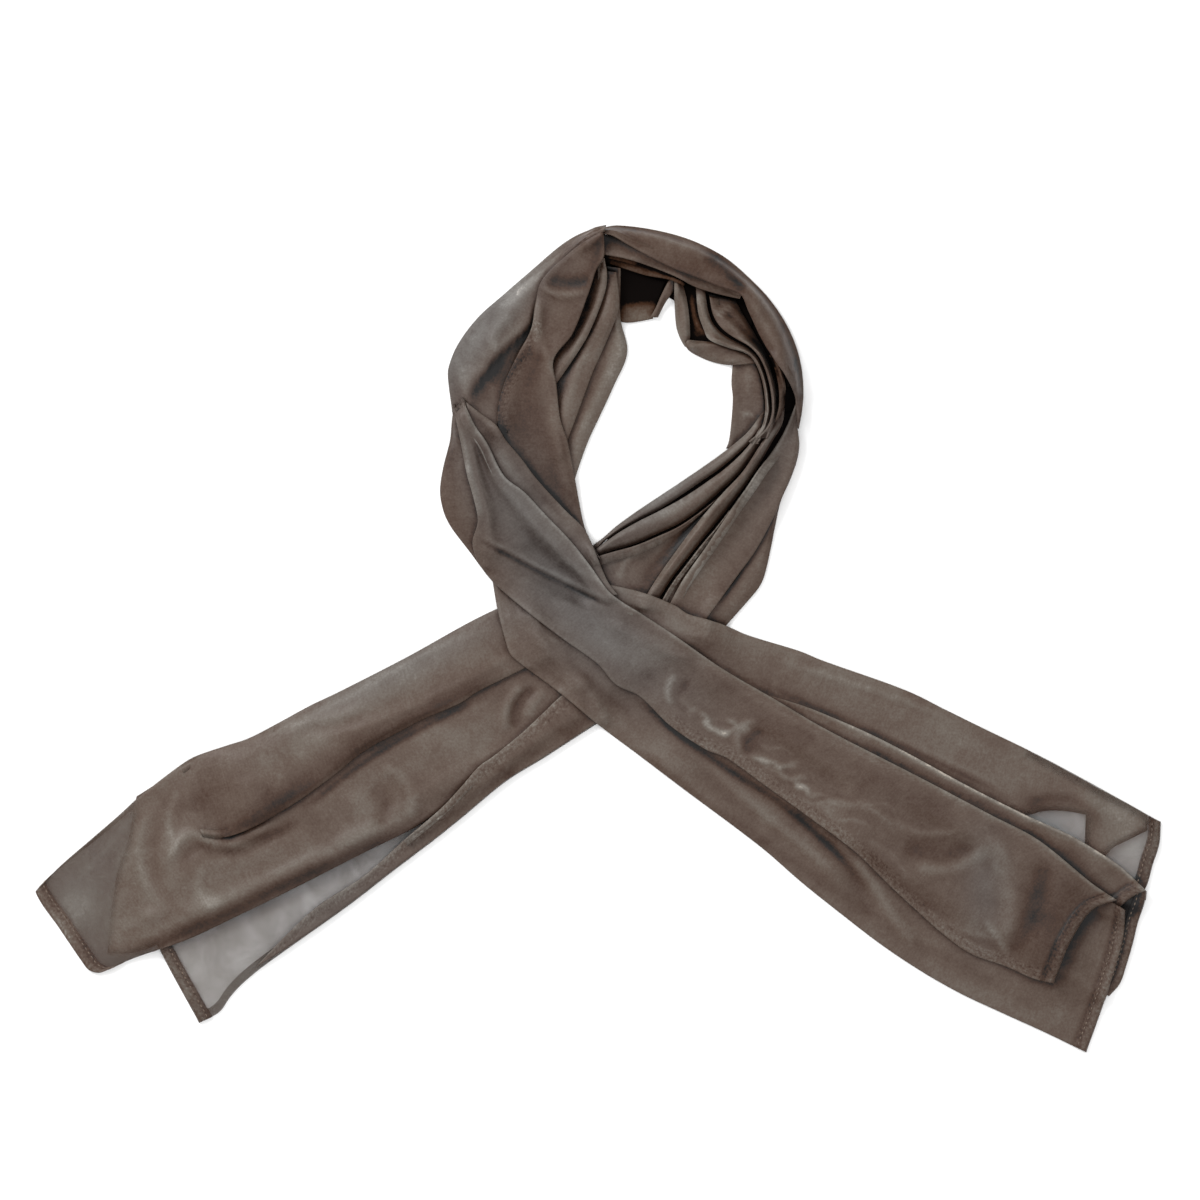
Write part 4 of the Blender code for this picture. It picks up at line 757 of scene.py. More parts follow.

# Clouds of tone on each stretch: painted shade below 0, painted sheen and glints above 0
CLOUDS = {
    "left_end_top_roll": [
        Cloud(-0.2, -290, -128, 15, 7.5, -30), Cloud(0.25, -208, -76, 27, 6, -30),
        Cloud(-0.25, -250, -112, 18, 6, -30), Cloud(-0.5, -300, -116, 32, 9, 25),
        Cloud(-0.55, -250, -130, 34, 10, 30),
    ],
    "left_end_upper_panel": [
        Cloud(0.3, -320, -157, 9, 21, 0), Cloud(-0.25, -298, -181, 15, 9, -20),
        Cloud(0.2, -244, -163, 24, 6.6, -25), Cloud(-0.3, -208, -139, 18, 7.5, -35),
        Cloud(0.25, -116, -70, 24, 9, -30), Cloud(-0.3, -290, -128, 15, 8.4, -30),
        Cloud(0.25, -382, -199, 18, 21, 0), Cloud(0.55, -392, -200, 22, 14, 60),
        Cloud(-0.5, -300, -116, 32, 9, 25), Cloud(-0.5, -250, -130, 34, 10, 30),
        Cloud(-0.35, -74, -38, 16, 10, -30),
    ],
    "left_end_lower_panel": [
        Cloud(0.4, -298, -250, 18, 7.5, -40), Cloud(-0.15, -250, -220, 18, 6, -30),
    ],
    "left_end_turned_edge": [
        Cloud(-0.5, -70, -100, 18, 3.6, -35), Cloud(-0.3, -28, -67, 15, 4.2, -35),
    ],
    "right_end_front_panel": [
        Cloud(0.35, -8, -2, 30.7, 20.5, -35), Cloud(0.3, 40, -12, 23.9, 8.5, -20),
        Cloud(0.4, 292, -179, 13.6, 23.9, 10), Cloud(0.3, 271, -210, 20.5, 8.9, -30),
        Cloud(-0.35, -44, 74, 16.4, 8.2, -40), Cloud(0.3, -68, 95, 13.6, 10.9, -50),
        Cloud(0.35, -33, 52, 21.8, 6.8, -35), Cloud(0.3, -79, 60, 10.9, 6.8, -35),
        Cloud(-0.35, 335, -200, 16, 34, 15), Cloud(-0.3, 360, -196, 14, 14, 0),
        Cloud(0.35, 16, -1, 24, 14, -35), Cloud(-0.5, -82, 60, 12, 9, -60),
        Cloud(0.9, 82, -64, 5, 3, -50), Cloud(1, 93, -70, 5, 3, -30),
        Cloud(0.9, 111, -68, 5, 4, 30), Cloud(0.65, 123, -91, 6, 3, -40),
        Cloud(0.4, 130, -98, 6, 3, -20), Cloud(0.8, 144, -95, 4, 2.5, 20),
        Cloud(0.7, 155, -112, 7, 3, -35), Cloud(0.5, 172, -128, 9, 4, -30),
        Cloud(0.5, 62, -48, 4, 6, 20), Cloud(-0.3, 68, -39, 5, 9, 20),
        Cloud(-0.35, 98, -37, 22, 11, -30), Cloud(-0.5, 117, -78, 8, 8, 0),
        Cloud(0.6, 150, -110, 5, 2.5, -50), Cloud(0.6, 70, -53, 4, 3, 0),
    ],
    "right_end_lower_panel": [
        Cloud(-0.35, 343, -258, 20.5, 10.2, -30), Cloud(0.3, 312, -265, 20.5, 6.8, -25),
        Cloud(-0.3, 90, -115, 30, 12, -38),
    ],
    "right_end_fold_over": [
        Cloud(-0.4, 353, -159, 17, 4.8, -32),
    ],
    "right_end_upper_panel": [
        Cloud(-0.5, 84, -7, 23.9, 8.9, -28), Cloud(0.3, 53, 12, 17, 7.5, -25),
        Cloud(0.3, 176, -23, 40.9, 8.9, -25), Cloud(-0.3, 149, -40, 27.3, 6.8, -28),
        Cloud(0.25, 278, -77, 34.1, 8.9, -28), Cloud(0.5, 388, -128, 40, 10, -30),
        Cloud(-1, 339, -133, 22, 11, -30), Cloud(0.8, 399, -155, 12, 9, -40),
    ],
    "loop_left_outer_band": [
        Cloud(0.35, -68, 254, 24.5, 6.8, 42), Cloud(0.35, -93, 229, 16.4, 6.8, 50),
        Cloud(-0.3, -75, 202, 5.5, 10.9, 20), Cloud(0.25, -104, 199, 5.5, 13.6, 0),
        Cloud(-0.9, -78, 194, 20.5, 9.3, 50), Cloud(-0.5, -93, 181, 11, 9, 60),
    ],
    "loop_left_panel": [
        Cloud(0.3, -14, 281, 10.9, 8.2, 30), Cloud(-0.55, -16, 215, 16.4, 8.2, 60),
        Cloud(-0.3, -52, 169, 10.9, 19.1, -30), Cloud(0.15, -41, 142, 8.2, 16.4, -10),
        Cloud(-0.5, -30, 109, 5.5, 16.4, 20), Cloud(-0.2, -60, 169, 8.2, 24.5, 0),
        Cloud(0.7, -54, 176, 12, 14, 0), Cloud(0.35, -28, 252, 18, 12, 40),
    ],
    "loop_left_bump": [
        Cloud(-0.3, -110, 131, 5.5, 16.4, 0), Cloud(0.2, -113, 104, 3.3, 10.9, 0),
    ],
    "loop_left_crossband": [
        Cloud(-0.3, -44, 109, 16.4, 3.8, -48), Cloud(0.2, -68, 139, 8.2, 4.4, -48),
    ],
    "loop_top_roll": [
        Cloud(0.25, 69, 291, 14, 5.6, -20), Cloud(-0.3, 25, 294, 11.2, 4.5, -25),
    ],
    "right_pleat_inner": [
        Cloud(0.35, 53, 115, 16.8, 4.5, 32),
    ],
    "right_panel_flat": [
        Cloud(-0.4, 61, 87, 16.8, 5.6, 42), Cloud(0.2, 25, 48, 8.4, 8.4, 0),
    ],
    "right_selvedge_band": [
        Cloud(-0.5, 69, 53, 16.8, 3.4, 50),
    ],
    "right_outer_panel": [
        Cloud(0.2, 86, 56, 16.8, 8.4, 50),
    ],
    "right_outer_fold": [
        Cloud(0.2, 121, 59, 5.6, 14, 20),
    ],
    "right_end_fold_under": [
        Cloud(-1.6, 402, -200, 8, 6, 40),
    ],
    "loop_back_band": [
        Cloud(1.1, 30, 242, 26, 7, 5),
    ],
    "loop_left_inner_strip": [
        Cloud(-0.8, 8, 258, 13, 18, -10),
    ],
    "loop_left_middle_strip": [
        Cloud(-0.7, 2, 266, 11, 13, 0),
    ],
}

# Where the cloth turns from brown to grey: partly painted sheen, where its yarns catch the light,
# partly the crossing weaves of its layers
COOL = [
    Cloud(0.9, -88, 236, 85, 22, 52),
    Cloud(0.8, -60, 98, 85, 30, -57),
    Cloud(0.75, 5, 5, 80, 34, -38),
    Cloud(0.7, 45, 108, 60, 18, 42),
    Cloud(0.5, -150, -22, 90, 14, 27),
    Cloud(0.5, 290, -185, 16, 40, 0),
    Cloud(0.5, -200, -205, 80, 30, 38),
    Cloud(0.4, 150, 180, 20, 90, -20),
]

# Turned edges whose fold catches the light: the edge and how much greyer it looks
LIT_EDGES = {
    "right_end_front_panel": ("far", 0.8),
    "right_end_fold_over": ("far", 1.1),
    "right_outer_panel": ("near", 0.4),
    "loop_left_crossband": ("near", 0.5),
    "loop_left_panel": ("far", 0.4),
    "loop_box_pleat_right": ("near", 0.4),
    "loop_fold_first": ("near", 0.4),
    "left_end_turned_edge": ("near", 0.4),
}


def smooth_line(rows, count=LINE_POINTS):
    """A smooth line through the rows, as points an equal way apart, in metres."""
    knots = np.array([(row + (0.0,))[:3] for row in rows], float) * MM
    if len(knots) == 2:
        return knots[0] + (knots[1] - knots[0]) * np.linspace(0, 1, count)[:, None]
    before = 2 * knots[0] - knots[1]
    after = 2 * knots[-1] - knots[-2]
    ring = np.vstack([before, knots, after])
    pieces = []
    for i in range(1, len(ring) - 2):
        p0, p1, p2, p3 = ring[i - 1:i + 3]
        span = max(np.linalg.norm((p2 - p1)[:2]), 1e-6)
        turn1 = (p2 - p0) * span / max(np.linalg.norm((p2 - p0)[:2]), 1e-6)
        turn2 = (p3 - p1) * span / max(np.linalg.norm((p3 - p1)[:2]), 1e-6)
        t = np.linspace(0, 1, KNOT_POINTS, endpoint=False)[:, None]
        pieces.append((2 * t**3 - 3 * t**2 + 1) * p1 + (t**3 - 2 * t**2 + t) * turn1
                      + (3 * t**2 - 2 * t**3) * p2 + (t**3 - t**2) * turn2)
    dense = np.vstack(pieces + [knots[-1:]])
    steps = np.linalg.norm(np.diff(dense[:, :2], axis=0), axis=1)
    along = np.concatenate([[0.0], np.cumsum(steps)])
    even = np.linspace(0, along[-1], count)
    return np.stack([np.interp(even, along, dense[:, k]) for k in range(3)], axis=1)


def read_line(line, share):
    """Points of a smooth line at the given shares of its length."""
    at = np.linspace(0, 1, len(line))
    return np.stack([np.interp(share, at, line[:, k]) for k in range(3)], axis=-1)


def line_length(line):
    return float(np.linalg.norm(np.diff(line[:, :2], axis=0), axis=1).sum())


def end_shares(length, rows, hem):
    """Shares along a stretch: close together at its end, where the shell closes down."""
    close = np.array(END_ROWS) / length
    if not hem:
        return np.concatenate([np.linspace(0, 1 - 2.5 * close[0], rows), 1 - close])
    fold = HEM_WIDTH / length
    inner = np.linspace(0, 1 - fold - HEM_STEP / length, rows)
    band = np.linspace(1 - fold, 1 - 2 * close[0], HEM_ROWS)
    return np.concatenate([inner, band, 1 - close])


def plan_of(stretch):
    """The stretch seen from above: a grid of points between its edges and its ends."""
    near = smooth_line(stretch.near)
    far = smooth_line(stretch.far)
    end = smooth_line(list(stretch.end) or [stretch.near[-1], stretch.far[-1]])
    start = smooth_line([stretch.near[0], stretch.far[0]])
    length = (line_length(near) + line_length(far)) / 2
    width = np.linalg.norm((near - far)[:, :2], axis=1).mean()
    cells = (CORE_CELL, CORE_CELL) if stretch.core else (CELL_ALONG, CELL_ACROSS)
    rows = max(6, round(length / cells[0]))
    columns = max(5, round(width / cells[1]))
    u = end_shares(length, rows, stretch.hem)
    v = np.linspace(0, 1, columns + 1)
    a, b = read_line(near, u)[:, None], read_line(far, u)[:, None]
    s, e = read_line(start, v)[None], read_line(end, v)[None]
    uu, vv = u[:, None, None], v[None, :, None]
    corners = ((1 - uu) * ((1 - vv) * near[0] + vv * far[0])
               + uu * ((1 - vv) * near[-1] + vv * far[-1]))
    grid = (1 - vv) * a + vv * b + (1 - uu) * s + uu * e - corners
    grid[..., 2:] = (1 - vv) * a[..., 2:] + vv * b[..., 2:]
    return grid, u, v, length


def soft_noise(x, y, seed):
    """Smooth noise from -1 to 1 with cells of 1 by 1."""
    table = np.random.default_rng(seed).uniform(-1, 1, (64, 64))
    i, j = np.floor(x).astype(int), np.floor(y).astype(int)
    fx, fy = x - i, y - j
    fx, fy = fx * fx * (3 - 2 * fx), fy * fy * (3 - 2 * fy)
    value = 0
    for di, wx in ((0, 1 - fx), (1, fx)):
        for dj, wy in ((0, 1 - fy), (1, fy)):
            value = value + table[(i + di) % 64, (j + dj) % 64] * wx * wy
    return value


def reach_of(points, grid):
    """Each grid point's distance to a line, its side (left is +) and a fade at both ends."""
    line = smooth_line(points, MARK_POINTS)[:, :2]
    flat = grid[..., :2].reshape(-1, 2)
    away = np.linalg.norm(flat[:, None] - line[None], axis=2)
    nearest = away.argmin(axis=1)
    heading = np.gradient(line, axis=0)[nearest]
    offset = flat - line[nearest]
    side = np.sign(heading[:, 0] * offset[:, 1] - heading[:, 1] * offset[:, 0])
    share = nearest / (len(line) - 1)
    fade = np.clip(np.minimum(share, 1 - share) * MARK_FADE + MARK_END, 0, 1)
    shape = grid.shape[:2]
    return (away.min(axis=1).reshape(shape), side.reshape(shape),
            (fade * fade * (3 - 2 * fade)).reshape(shape))


def clouds_at(clouds, grid):
    """Tone that the clouds add at each point."""
    total = np.zeros(grid.shape[:2])
    for cloud in clouds:
        turn = math.radians(cloud.turn)
        x, y = grid[..., 0] / MM - cloud.x, grid[..., 1] / MM - cloud.y
        along = (x * math.cos(turn) + y * math.sin(turn)) / cloud.long
        across = (y * math.cos(turn) - x * math.sin(turn)) / cloud.wide
        total += cloud.tone * np.exp(-along**2 - across**2)
    return total


def cool_of(grid):
    """How far each point's brown is greyed, partly by painted sheen, from 0 to 1."""
    return np.clip(clouds_at(COOL, grid), 0, 1)


def marks_of(stretch, grid):
    """Height that the stretch's creases add, and its tone: painted grey sheen or painted brown
    shade, and painted light on a turned edge that catches it.
    """
    height, tone = np.zeros(grid.shape[:2]), np.full(grid.shape[:2], float(stretch.tone))
    for mark in MARKS.get(stretch.name, ()):
        away, side, fade = reach_of(mark.points, grid)
        width = mark.width * MM
        bell = np.exp(-(away / width) ** 2)
        profile = -bell if mark.kind == "trough" else bell
        if mark.kind == "lip":
            up = np.where(side > 0, np.exp(-away / width), np.exp(-(away / LIP_FALL) ** 2))
            foot = np.exp(-((away - LIP_FOOT[0]) / LIP_FOOT[1]) ** 2)
            profile = up - np.where(side > 0, 0, 0.5 * foot)
        height += RELIEF * mark.height * MM * profile * fade
        tone += TONE_GAIN * mark.tone * bell * fade
    edge, light = LIT_EDGES.get(stretch.name, ("near", 0))
    outermost = grid[:, :1, :2] if edge == "near" else grid[:, -1:, :2]
    inset = np.linalg.norm(grid[..., :2] - outermost, axis=2)
    tone += light * np.exp(-(inset / EDGE_LIGHT) ** 2)
    return height, tone + TONE_GAIN * clouds_at(CLOUDS.get(stretch.name, ()), grid)


def nine_around(field):
    """The map moved by each step of at most one cell, with nothing beyond its rim."""
    wide = np.pad(field, 1)
    return [wide[i:i + field.shape[0], j:j + field.shape[1]] for i in range(3) for j in range(3)]


def evened(*fields):
    """Each map averaged over its neighbouring cells."""
    return [sum(nine_around(field)) / 9 for field in fields]


class Pile:
    """What is laid so far, as maps seen from above: heights, whose cloth is on top, its tone."""

    def __init__(self):
        self.low = np.array([-SPREAD / 2 - 0.02, -DEPTH / 2 - 0.02])
        size = tuple(np.ceil((-2 * self.low) / LAY_STEP).astype(int))
        self.height = np.zeros(size)
        self.owner = np.full(size, -1)
        self.tone = np.full(size, np.nan)
        self.names = []

    def cells(self, points):
        index = np.rint((points[..., :2] - self.low) / LAY_STEP).astype(int)
        limit = np.array(self.height.shape) - 1
        index = np.clip(index, 0, limit)
        return index[..., 0], index[..., 1]

    def under(self, grid):
        """The height that each point of the grid has to clear."""
        reach = self.height
        for _ in range(2):
            reach = np.max(nine_around(reach), axis=0)
        found = reach[self.cells(grid)]
        return np.where(found > 0, found + CLEARANCE, FLOOR_GAP)

    def surface(self, grid):
        """The height of the cloth at each point of the grid, evened out, and 0 on the floor."""
        cloth = (self.height > 0).astype(float)
        total, count = self.height * cloth, cloth
        for _ in range(2):
            total, count = evened(total, count)
        even = np.where(cloth > 0, total / np.maximum(count, 1e-3), 0)
        place = (grid[..., :2] - self.low) / LAY_STEP
        low = np.clip(np.floor(place).astype(int), 0, np.array(even.shape) - 2)
        i, j = low[..., 0], low[..., 1]
        x, y = place[..., 0] - i, place[..., 1] - j
        return ((1 - x) * (1 - y) * even[i, j] + x * (1 - y) * even[i + 1, j]
                + (1 - x) * y * even[i, j + 1] + x * y * even[i + 1, j + 1])

    def carriers(self, grid):
        """Names of the cloth that this grid mostly lies on."""
        owners, counts = np.unique(self.owner[self.cells(grid)], return_counts=True)
        enough = counts > CARRIER_SHARE * grid.shape[0] * grid.shape[1]
        return [self.names[k] if k >= 0 else "floor" for k in owners[enough]]

    def backed(self, grid):
        """From 0 to 1, how surely each point has cloth under it, well in from its edge."""
        inside = (self.height > 0).astype(float)
        for turn in range(BACKING_EDGE):
            drawn_in = turn < BACKING_EDGE // 2
            inside = np.min(nine_around(inside), axis=0) if drawn_in else evened(inside)[0]
        return inside[self.cells(grid)]

    def means(self):
        """Maps of the cloth's mean height around each cell, close by and further off."""
        cloth = (self.height > 0).astype(float)
        total, count, found = self.height * cloth, cloth, []
        for turn in range(WIDE_BLUR):
            total, count = evened(total, count)
            if turn in (CLOSE_BLUR - 1, WIDE_BLUR - 1):
                found.append(total / np.maximum(count, 1e-3))
                found.append(np.clip((count - INSIDE[0]) / (INSIDE[1] - INSIDE[0]), 0, 1))
        return found

    def add(self, grid, tone, name):
        """Lays a stretch's top on the maps, at points closer together than their cells."""
        self.names.append(name)
        widest = max(np.linalg.norm(np.diff(grid[..., :2], axis=k), axis=2).max() for k in (0, 1))
        shares = np.linspace(0, 1, int(widest / LAY_STEP) + 2)
        for a in shares:
            for b in shares:
                point, shade = [(1 - a) * (1 - b) * each[:-1, :-1] + a * (1 - b) * each[1:, :-1]
                                + (1 - a) * b * each[:-1, 1:] + a * b * each[1:, 1:]
                                for each in (grid, tone)]
                x, y = self.cells(point)
                self.tone[x, y] = shade
                np.maximum.at(self.height, (x, y), point[..., 2])
                self.owner[x, y] = len(self.names) - 1


def settle(ground):
    """Cloth bridges what is under it and sinks where nothing holds it up."""
    z = ground.copy()
    sink = np.full(ground.shape, SAG)
    sink[:, :2] = sink[:, -2:] = sink[-2:] = EDGE_SAG
    for _ in range(SETTLE_STEPS):
        edge = np.pad(z, 1, mode="edge")
        beside = (edge[:-2, 1:-1] + edge[2:, 1:-1] + edge[1:-1, :-2] + edge[1:-1, 2:]) / 4
        z = ground + np.maximum(beside - ground, 0) * (1 - sink)
    return z


def swell_of(stretch, grid):
    """Height that the stretch's soft humps add."""
    height = np.zeros(grid.shape[:2])
    for hump in stretch.swell:
        away = np.hypot(grid[..., 0] - hump.x * MM, grid[..., 1] - hump.y * MM)
        height += hump.height * MM * np.exp(-(away / (hump.radius * MM)) ** 2 * 2)
    return height


def body_of(stretch, u, v, length, width):
    """Thickness of the stretch: rounded across, puffed at its turned edges and hem."""
    across = np.sqrt(np.clip(1 - (2 * v - 1) ** 2, 0, 1))[None]
    ends = np.clip(np.minimum(u, 1 - u) * RISE_RUN, END_RISE, 1)[:, None]
    body = stretch.wall + stretch.rise * ends * across
    from_edge = np.minimum(v, 1 - v)[None] * width[:, None]
    body = body + stretch.crest * np.exp(-((from_edge - CREST_INSET) / CREST_WIDTH) ** 2)
    to_end = ((1 - u) * length)[:, None]
    if stretch.hem:
        roll = np.sqrt(np.clip(1 - (2 * to_end / HEM_WIDTH - 1) ** 2, 0, 1))
        rise = HEM_RISE * (ROLLED_MORE if stretch.hem == "rolled" else 1)
        body = body + rise * (HEM_FLAT * (to_end < HEM_WIDTH) + (1 - HEM_FLAT) * roll)
        body = body - STITCH_SINK * np.exp(-((to_end - STITCH_INSET) / LINE_WIDTH) ** 2)
    closing = np.clip(1 - to_end / END_CLOSE, 0, 1)
    return body * np.maximum(np.sqrt(1 - closing**2), END_PART)


def whole_of(stretch, u, length):
    """How much of the stretch's own body is left where it melts into the cloth below it."""
    whole = np.ones(len(u))
    for run, part in zip((u, 1 - u), stretch.fade):
        if part:
            share = np.clip(run * length / (part * MM), 0, 1)
            whole = whole * share * share * (3 - 2 * share)
    return whole[:, None]


def turn_edge(edge, inward, top, under, back):
    """Columns of points round a turned edge, from the cloth run back beneath to its top."""
    radius = ((top - under) / 2)[:, None]
    middle = ((top + under) / 2)[:, None]
    angle = np.linspace(-math.pi / 2, math.pi / 2, TURN_SIDES + 1)[None]
    inset = radius - radius * np.cos(angle)
    xy = edge[:, None] + inward[:, None] * inset[..., None]
    z = middle + radius * np.sin(angle)
    turned = np.concatenate([xy, z[..., None]], axis=2)
    tail = edge + inward * (radius + back[:, None])
    run = np.concatenate([tail, (under + TAIL_LIFT)[:, None]], axis=1)[:, None]
    return np.concatenate([run, turned], axis=1)


def unit(vectors):
    return vectors / np.maximum(np.linalg.norm(vectors, axis=-1, keepdims=True), 1e-9)


def path_along(points):
    """Distance along each row of points."""
    step = np.linalg.norm(np.diff(points, axis=1), axis=2)
    return np.concatenate([np.zeros((len(points), 1)), np.cumsum(step, axis=1)], axis=1)


def dense_of(stretch, u, along, across, length, width):
    """1 where the cloth is dense, on its hem and its woven edges, and 0 elsewhere."""
    dense = np.zeros(across.shape)
    if stretch.hem:
        dense = np.maximum(dense, along >= length - HEM_WIDTH * 1.02)
    for edge, start, stop in stretch.selvedge:
        from_edge = across if edge == "near" else width[:, None] - across
        reached = (u[:, None] >= start) & (u[:, None] <= stop)
        dense = np.maximum(dense, (from_edge < SELVEDGE_WIDTH) & reached)
    return dense


# A stretch as it lies: its points and what is drawn on them, and its plan with its top's heights
Laid = namedtuple("Laid", "stretch points weave values rests_on shown u length margin")


def shape_stretch(stretch, pile):
    """The stretch laid on the pile: its points, its cloth coordinates, tone and density."""
    plan, u, v, length = plan_of(stretch)
    width = np.linalg.norm(plan[:, 0, :2] - plan[:, -1, :2], axis=1)
    ground = np.maximum(pile.under(plan), plan[..., 2])
    rests_on = pile.carriers(plan)
    backed = pile.backed(plan)
    whole = whole_of(stretch, u, length)
    rest = ground + (settle(ground) - ground) * whole
    body = body_of(stretch, u, v, length, width)
    ripple = 0.0 if stretch.core else RIPPLE
    along, across = u[:, None] * length, v[None] * width[:, None]
    seed = sum(map(ord, stretch.name))
    waves = sum(share * soft_noise(along / long, across / wide, seed + n)
                for n, (long, wide, share) in enumerate(RIPPLES))
    calm = np.clip(np.minimum(v, 1 - v)[None] * width[:, None] / CALM_EDGE, 0, 1)
    creases, tone = marks_of(stretch, plan)
    top = rest + body + ripple * waves * calm
    top = top + (creases + swell_of(stretch, plan)) * np.minimum(1, calm + EDGE_RELIEF)
    least = ground + SHELL * 1.5
    snug = pile.surface(plan) + SHELL if sum(stretch.fade) else least
    least = np.where(snug > SHELL, snug + (least - snug) * whole, least)
    top = least + np.maximum(top - least, 0) * whole
    below = pile.tone[pile.cells(plan)]
    tone = np.where(np.isnan(below), tone, whole * tone + (1 - whole) * below)
    if stretch.hem:
        to_end = ((1 - u) * length)[:, None]
        tone = tone - HEM_SHADE * (to_end < HEM_WIDTH)
        # Painted shade at the hem's inner edge and along its stitches, and a painted highlight on
        # its roll
        for line, change in HEM_LINES:
            tone = tone + change * np.exp(-((to_end - line) / LINE_WIDTH) ** 2)
    shell = plan.copy()
    shell[..., 2] = top
    pile.add(shell, tone, stretch.name + "_cloth")

    inward = unit(plan[:, 1, :2] - plan[:, 0, :2])
    outward = unit(plan[:, -2, :2] - plan[:, -1, :2])
    near_radius = ((top - rest)[:, 0] / 2)[:, None, None]
    far_radius = ((top - rest)[:, -1] / 2)[:, None, None]
    vv = v[None, :, None]
    shell[..., :2] += (inward[:, None] * near_radius * (1 - vv)
                       + outward[:, None] * far_radius * vv)
    back = np.minimum(TURN_BACK, NARROW_BACK * width)
    near = turn_edge(plan[:, 0, :2], inward, top[:, 0], rest[:, 0], back)
    far = turn_edge(plan[:, -1, :2], outward, top[:, -1], rest[:, -1], back)
    points = np.concatenate([near, shell[:, 1:-1], far[:, ::-1]], axis=1)

    margin = near.shape[1] - 1
    shown = plan.copy()
    shown[..., 2] = top
    weave = np.stack([np.broadcast_to(along, (len(u), 1)).repeat(points.shape[1], axis=1),
                      path_along(points)], axis=2)
    backed = np.maximum(backed, np.clip((stretch.sheer - u) * SHEER_RUN + 1, 0, 1)[:, None])
    values = {"tone": tone, "dense": dense_of(stretch, u, along, across, length, width),
              "cover": COVER[stretch.layers] * (1 - backed) + backed, "cool": cool_of(plan)}
    values = {label: np.pad(value, ((0, 0), (margin, margin)), mode="edge")
              for label, value in values.items()}
    return Laid(stretch, points, weave, values, rests_on, shown, u, length, margin)


def srgb(code):
    """An sRGB hex colour as linear red, green, blue and full alpha."""
    parts = [int(code[k:k + 2], 16) / 255 for k in (0, 2, 4)]
    return [c / 12.92 if c <= 0.04045 else ((c + 0.055) / 1.055) ** 2.4 for c in parts] + [1.0]


def add_node(tree, kind, inputs=None, **settings):
    """Adds a node: settings are its own, inputs are values or other nodes' outputs."""
    made = tree.nodes.new(kind)
    for name, value in settings.items():
        setattr(made, name, value)
    for name, value in (inputs or {}).items():
        if isinstance(value, bpy.types.NodeSocket):
            tree.links.new(value, made.inputs[name])
        else:
            made.inputs[name].default_value = value
    return made


def blank_material(name):
    material = bpy.data.materials.new(name)
    material.use_nodes = True
    material.node_tree.nodes.clear()
    return material, material.node_tree


def ramp(tree, value, stops):
    """A colour ramp through (place, colour) stops."""
    made = add_node(tree, "ShaderNodeValToRGB", {"Fac": value})
    line = made.color_ramp.elements
    while len(line) < len(stops):
        line.new(0.5)
    for element, (place, colour) in zip(line, stops):
        element.position = place
        element.color = colour
    return made.outputs["Color"]


def spread(tree, value, low, high):
    """A value from 0 to 1 moved to run from low to high."""
    made = add_node(tree, "ShaderNodeMapRange", {"Value": value, "To Min": low, "To Max": high})
    return made.outputs["Result"]


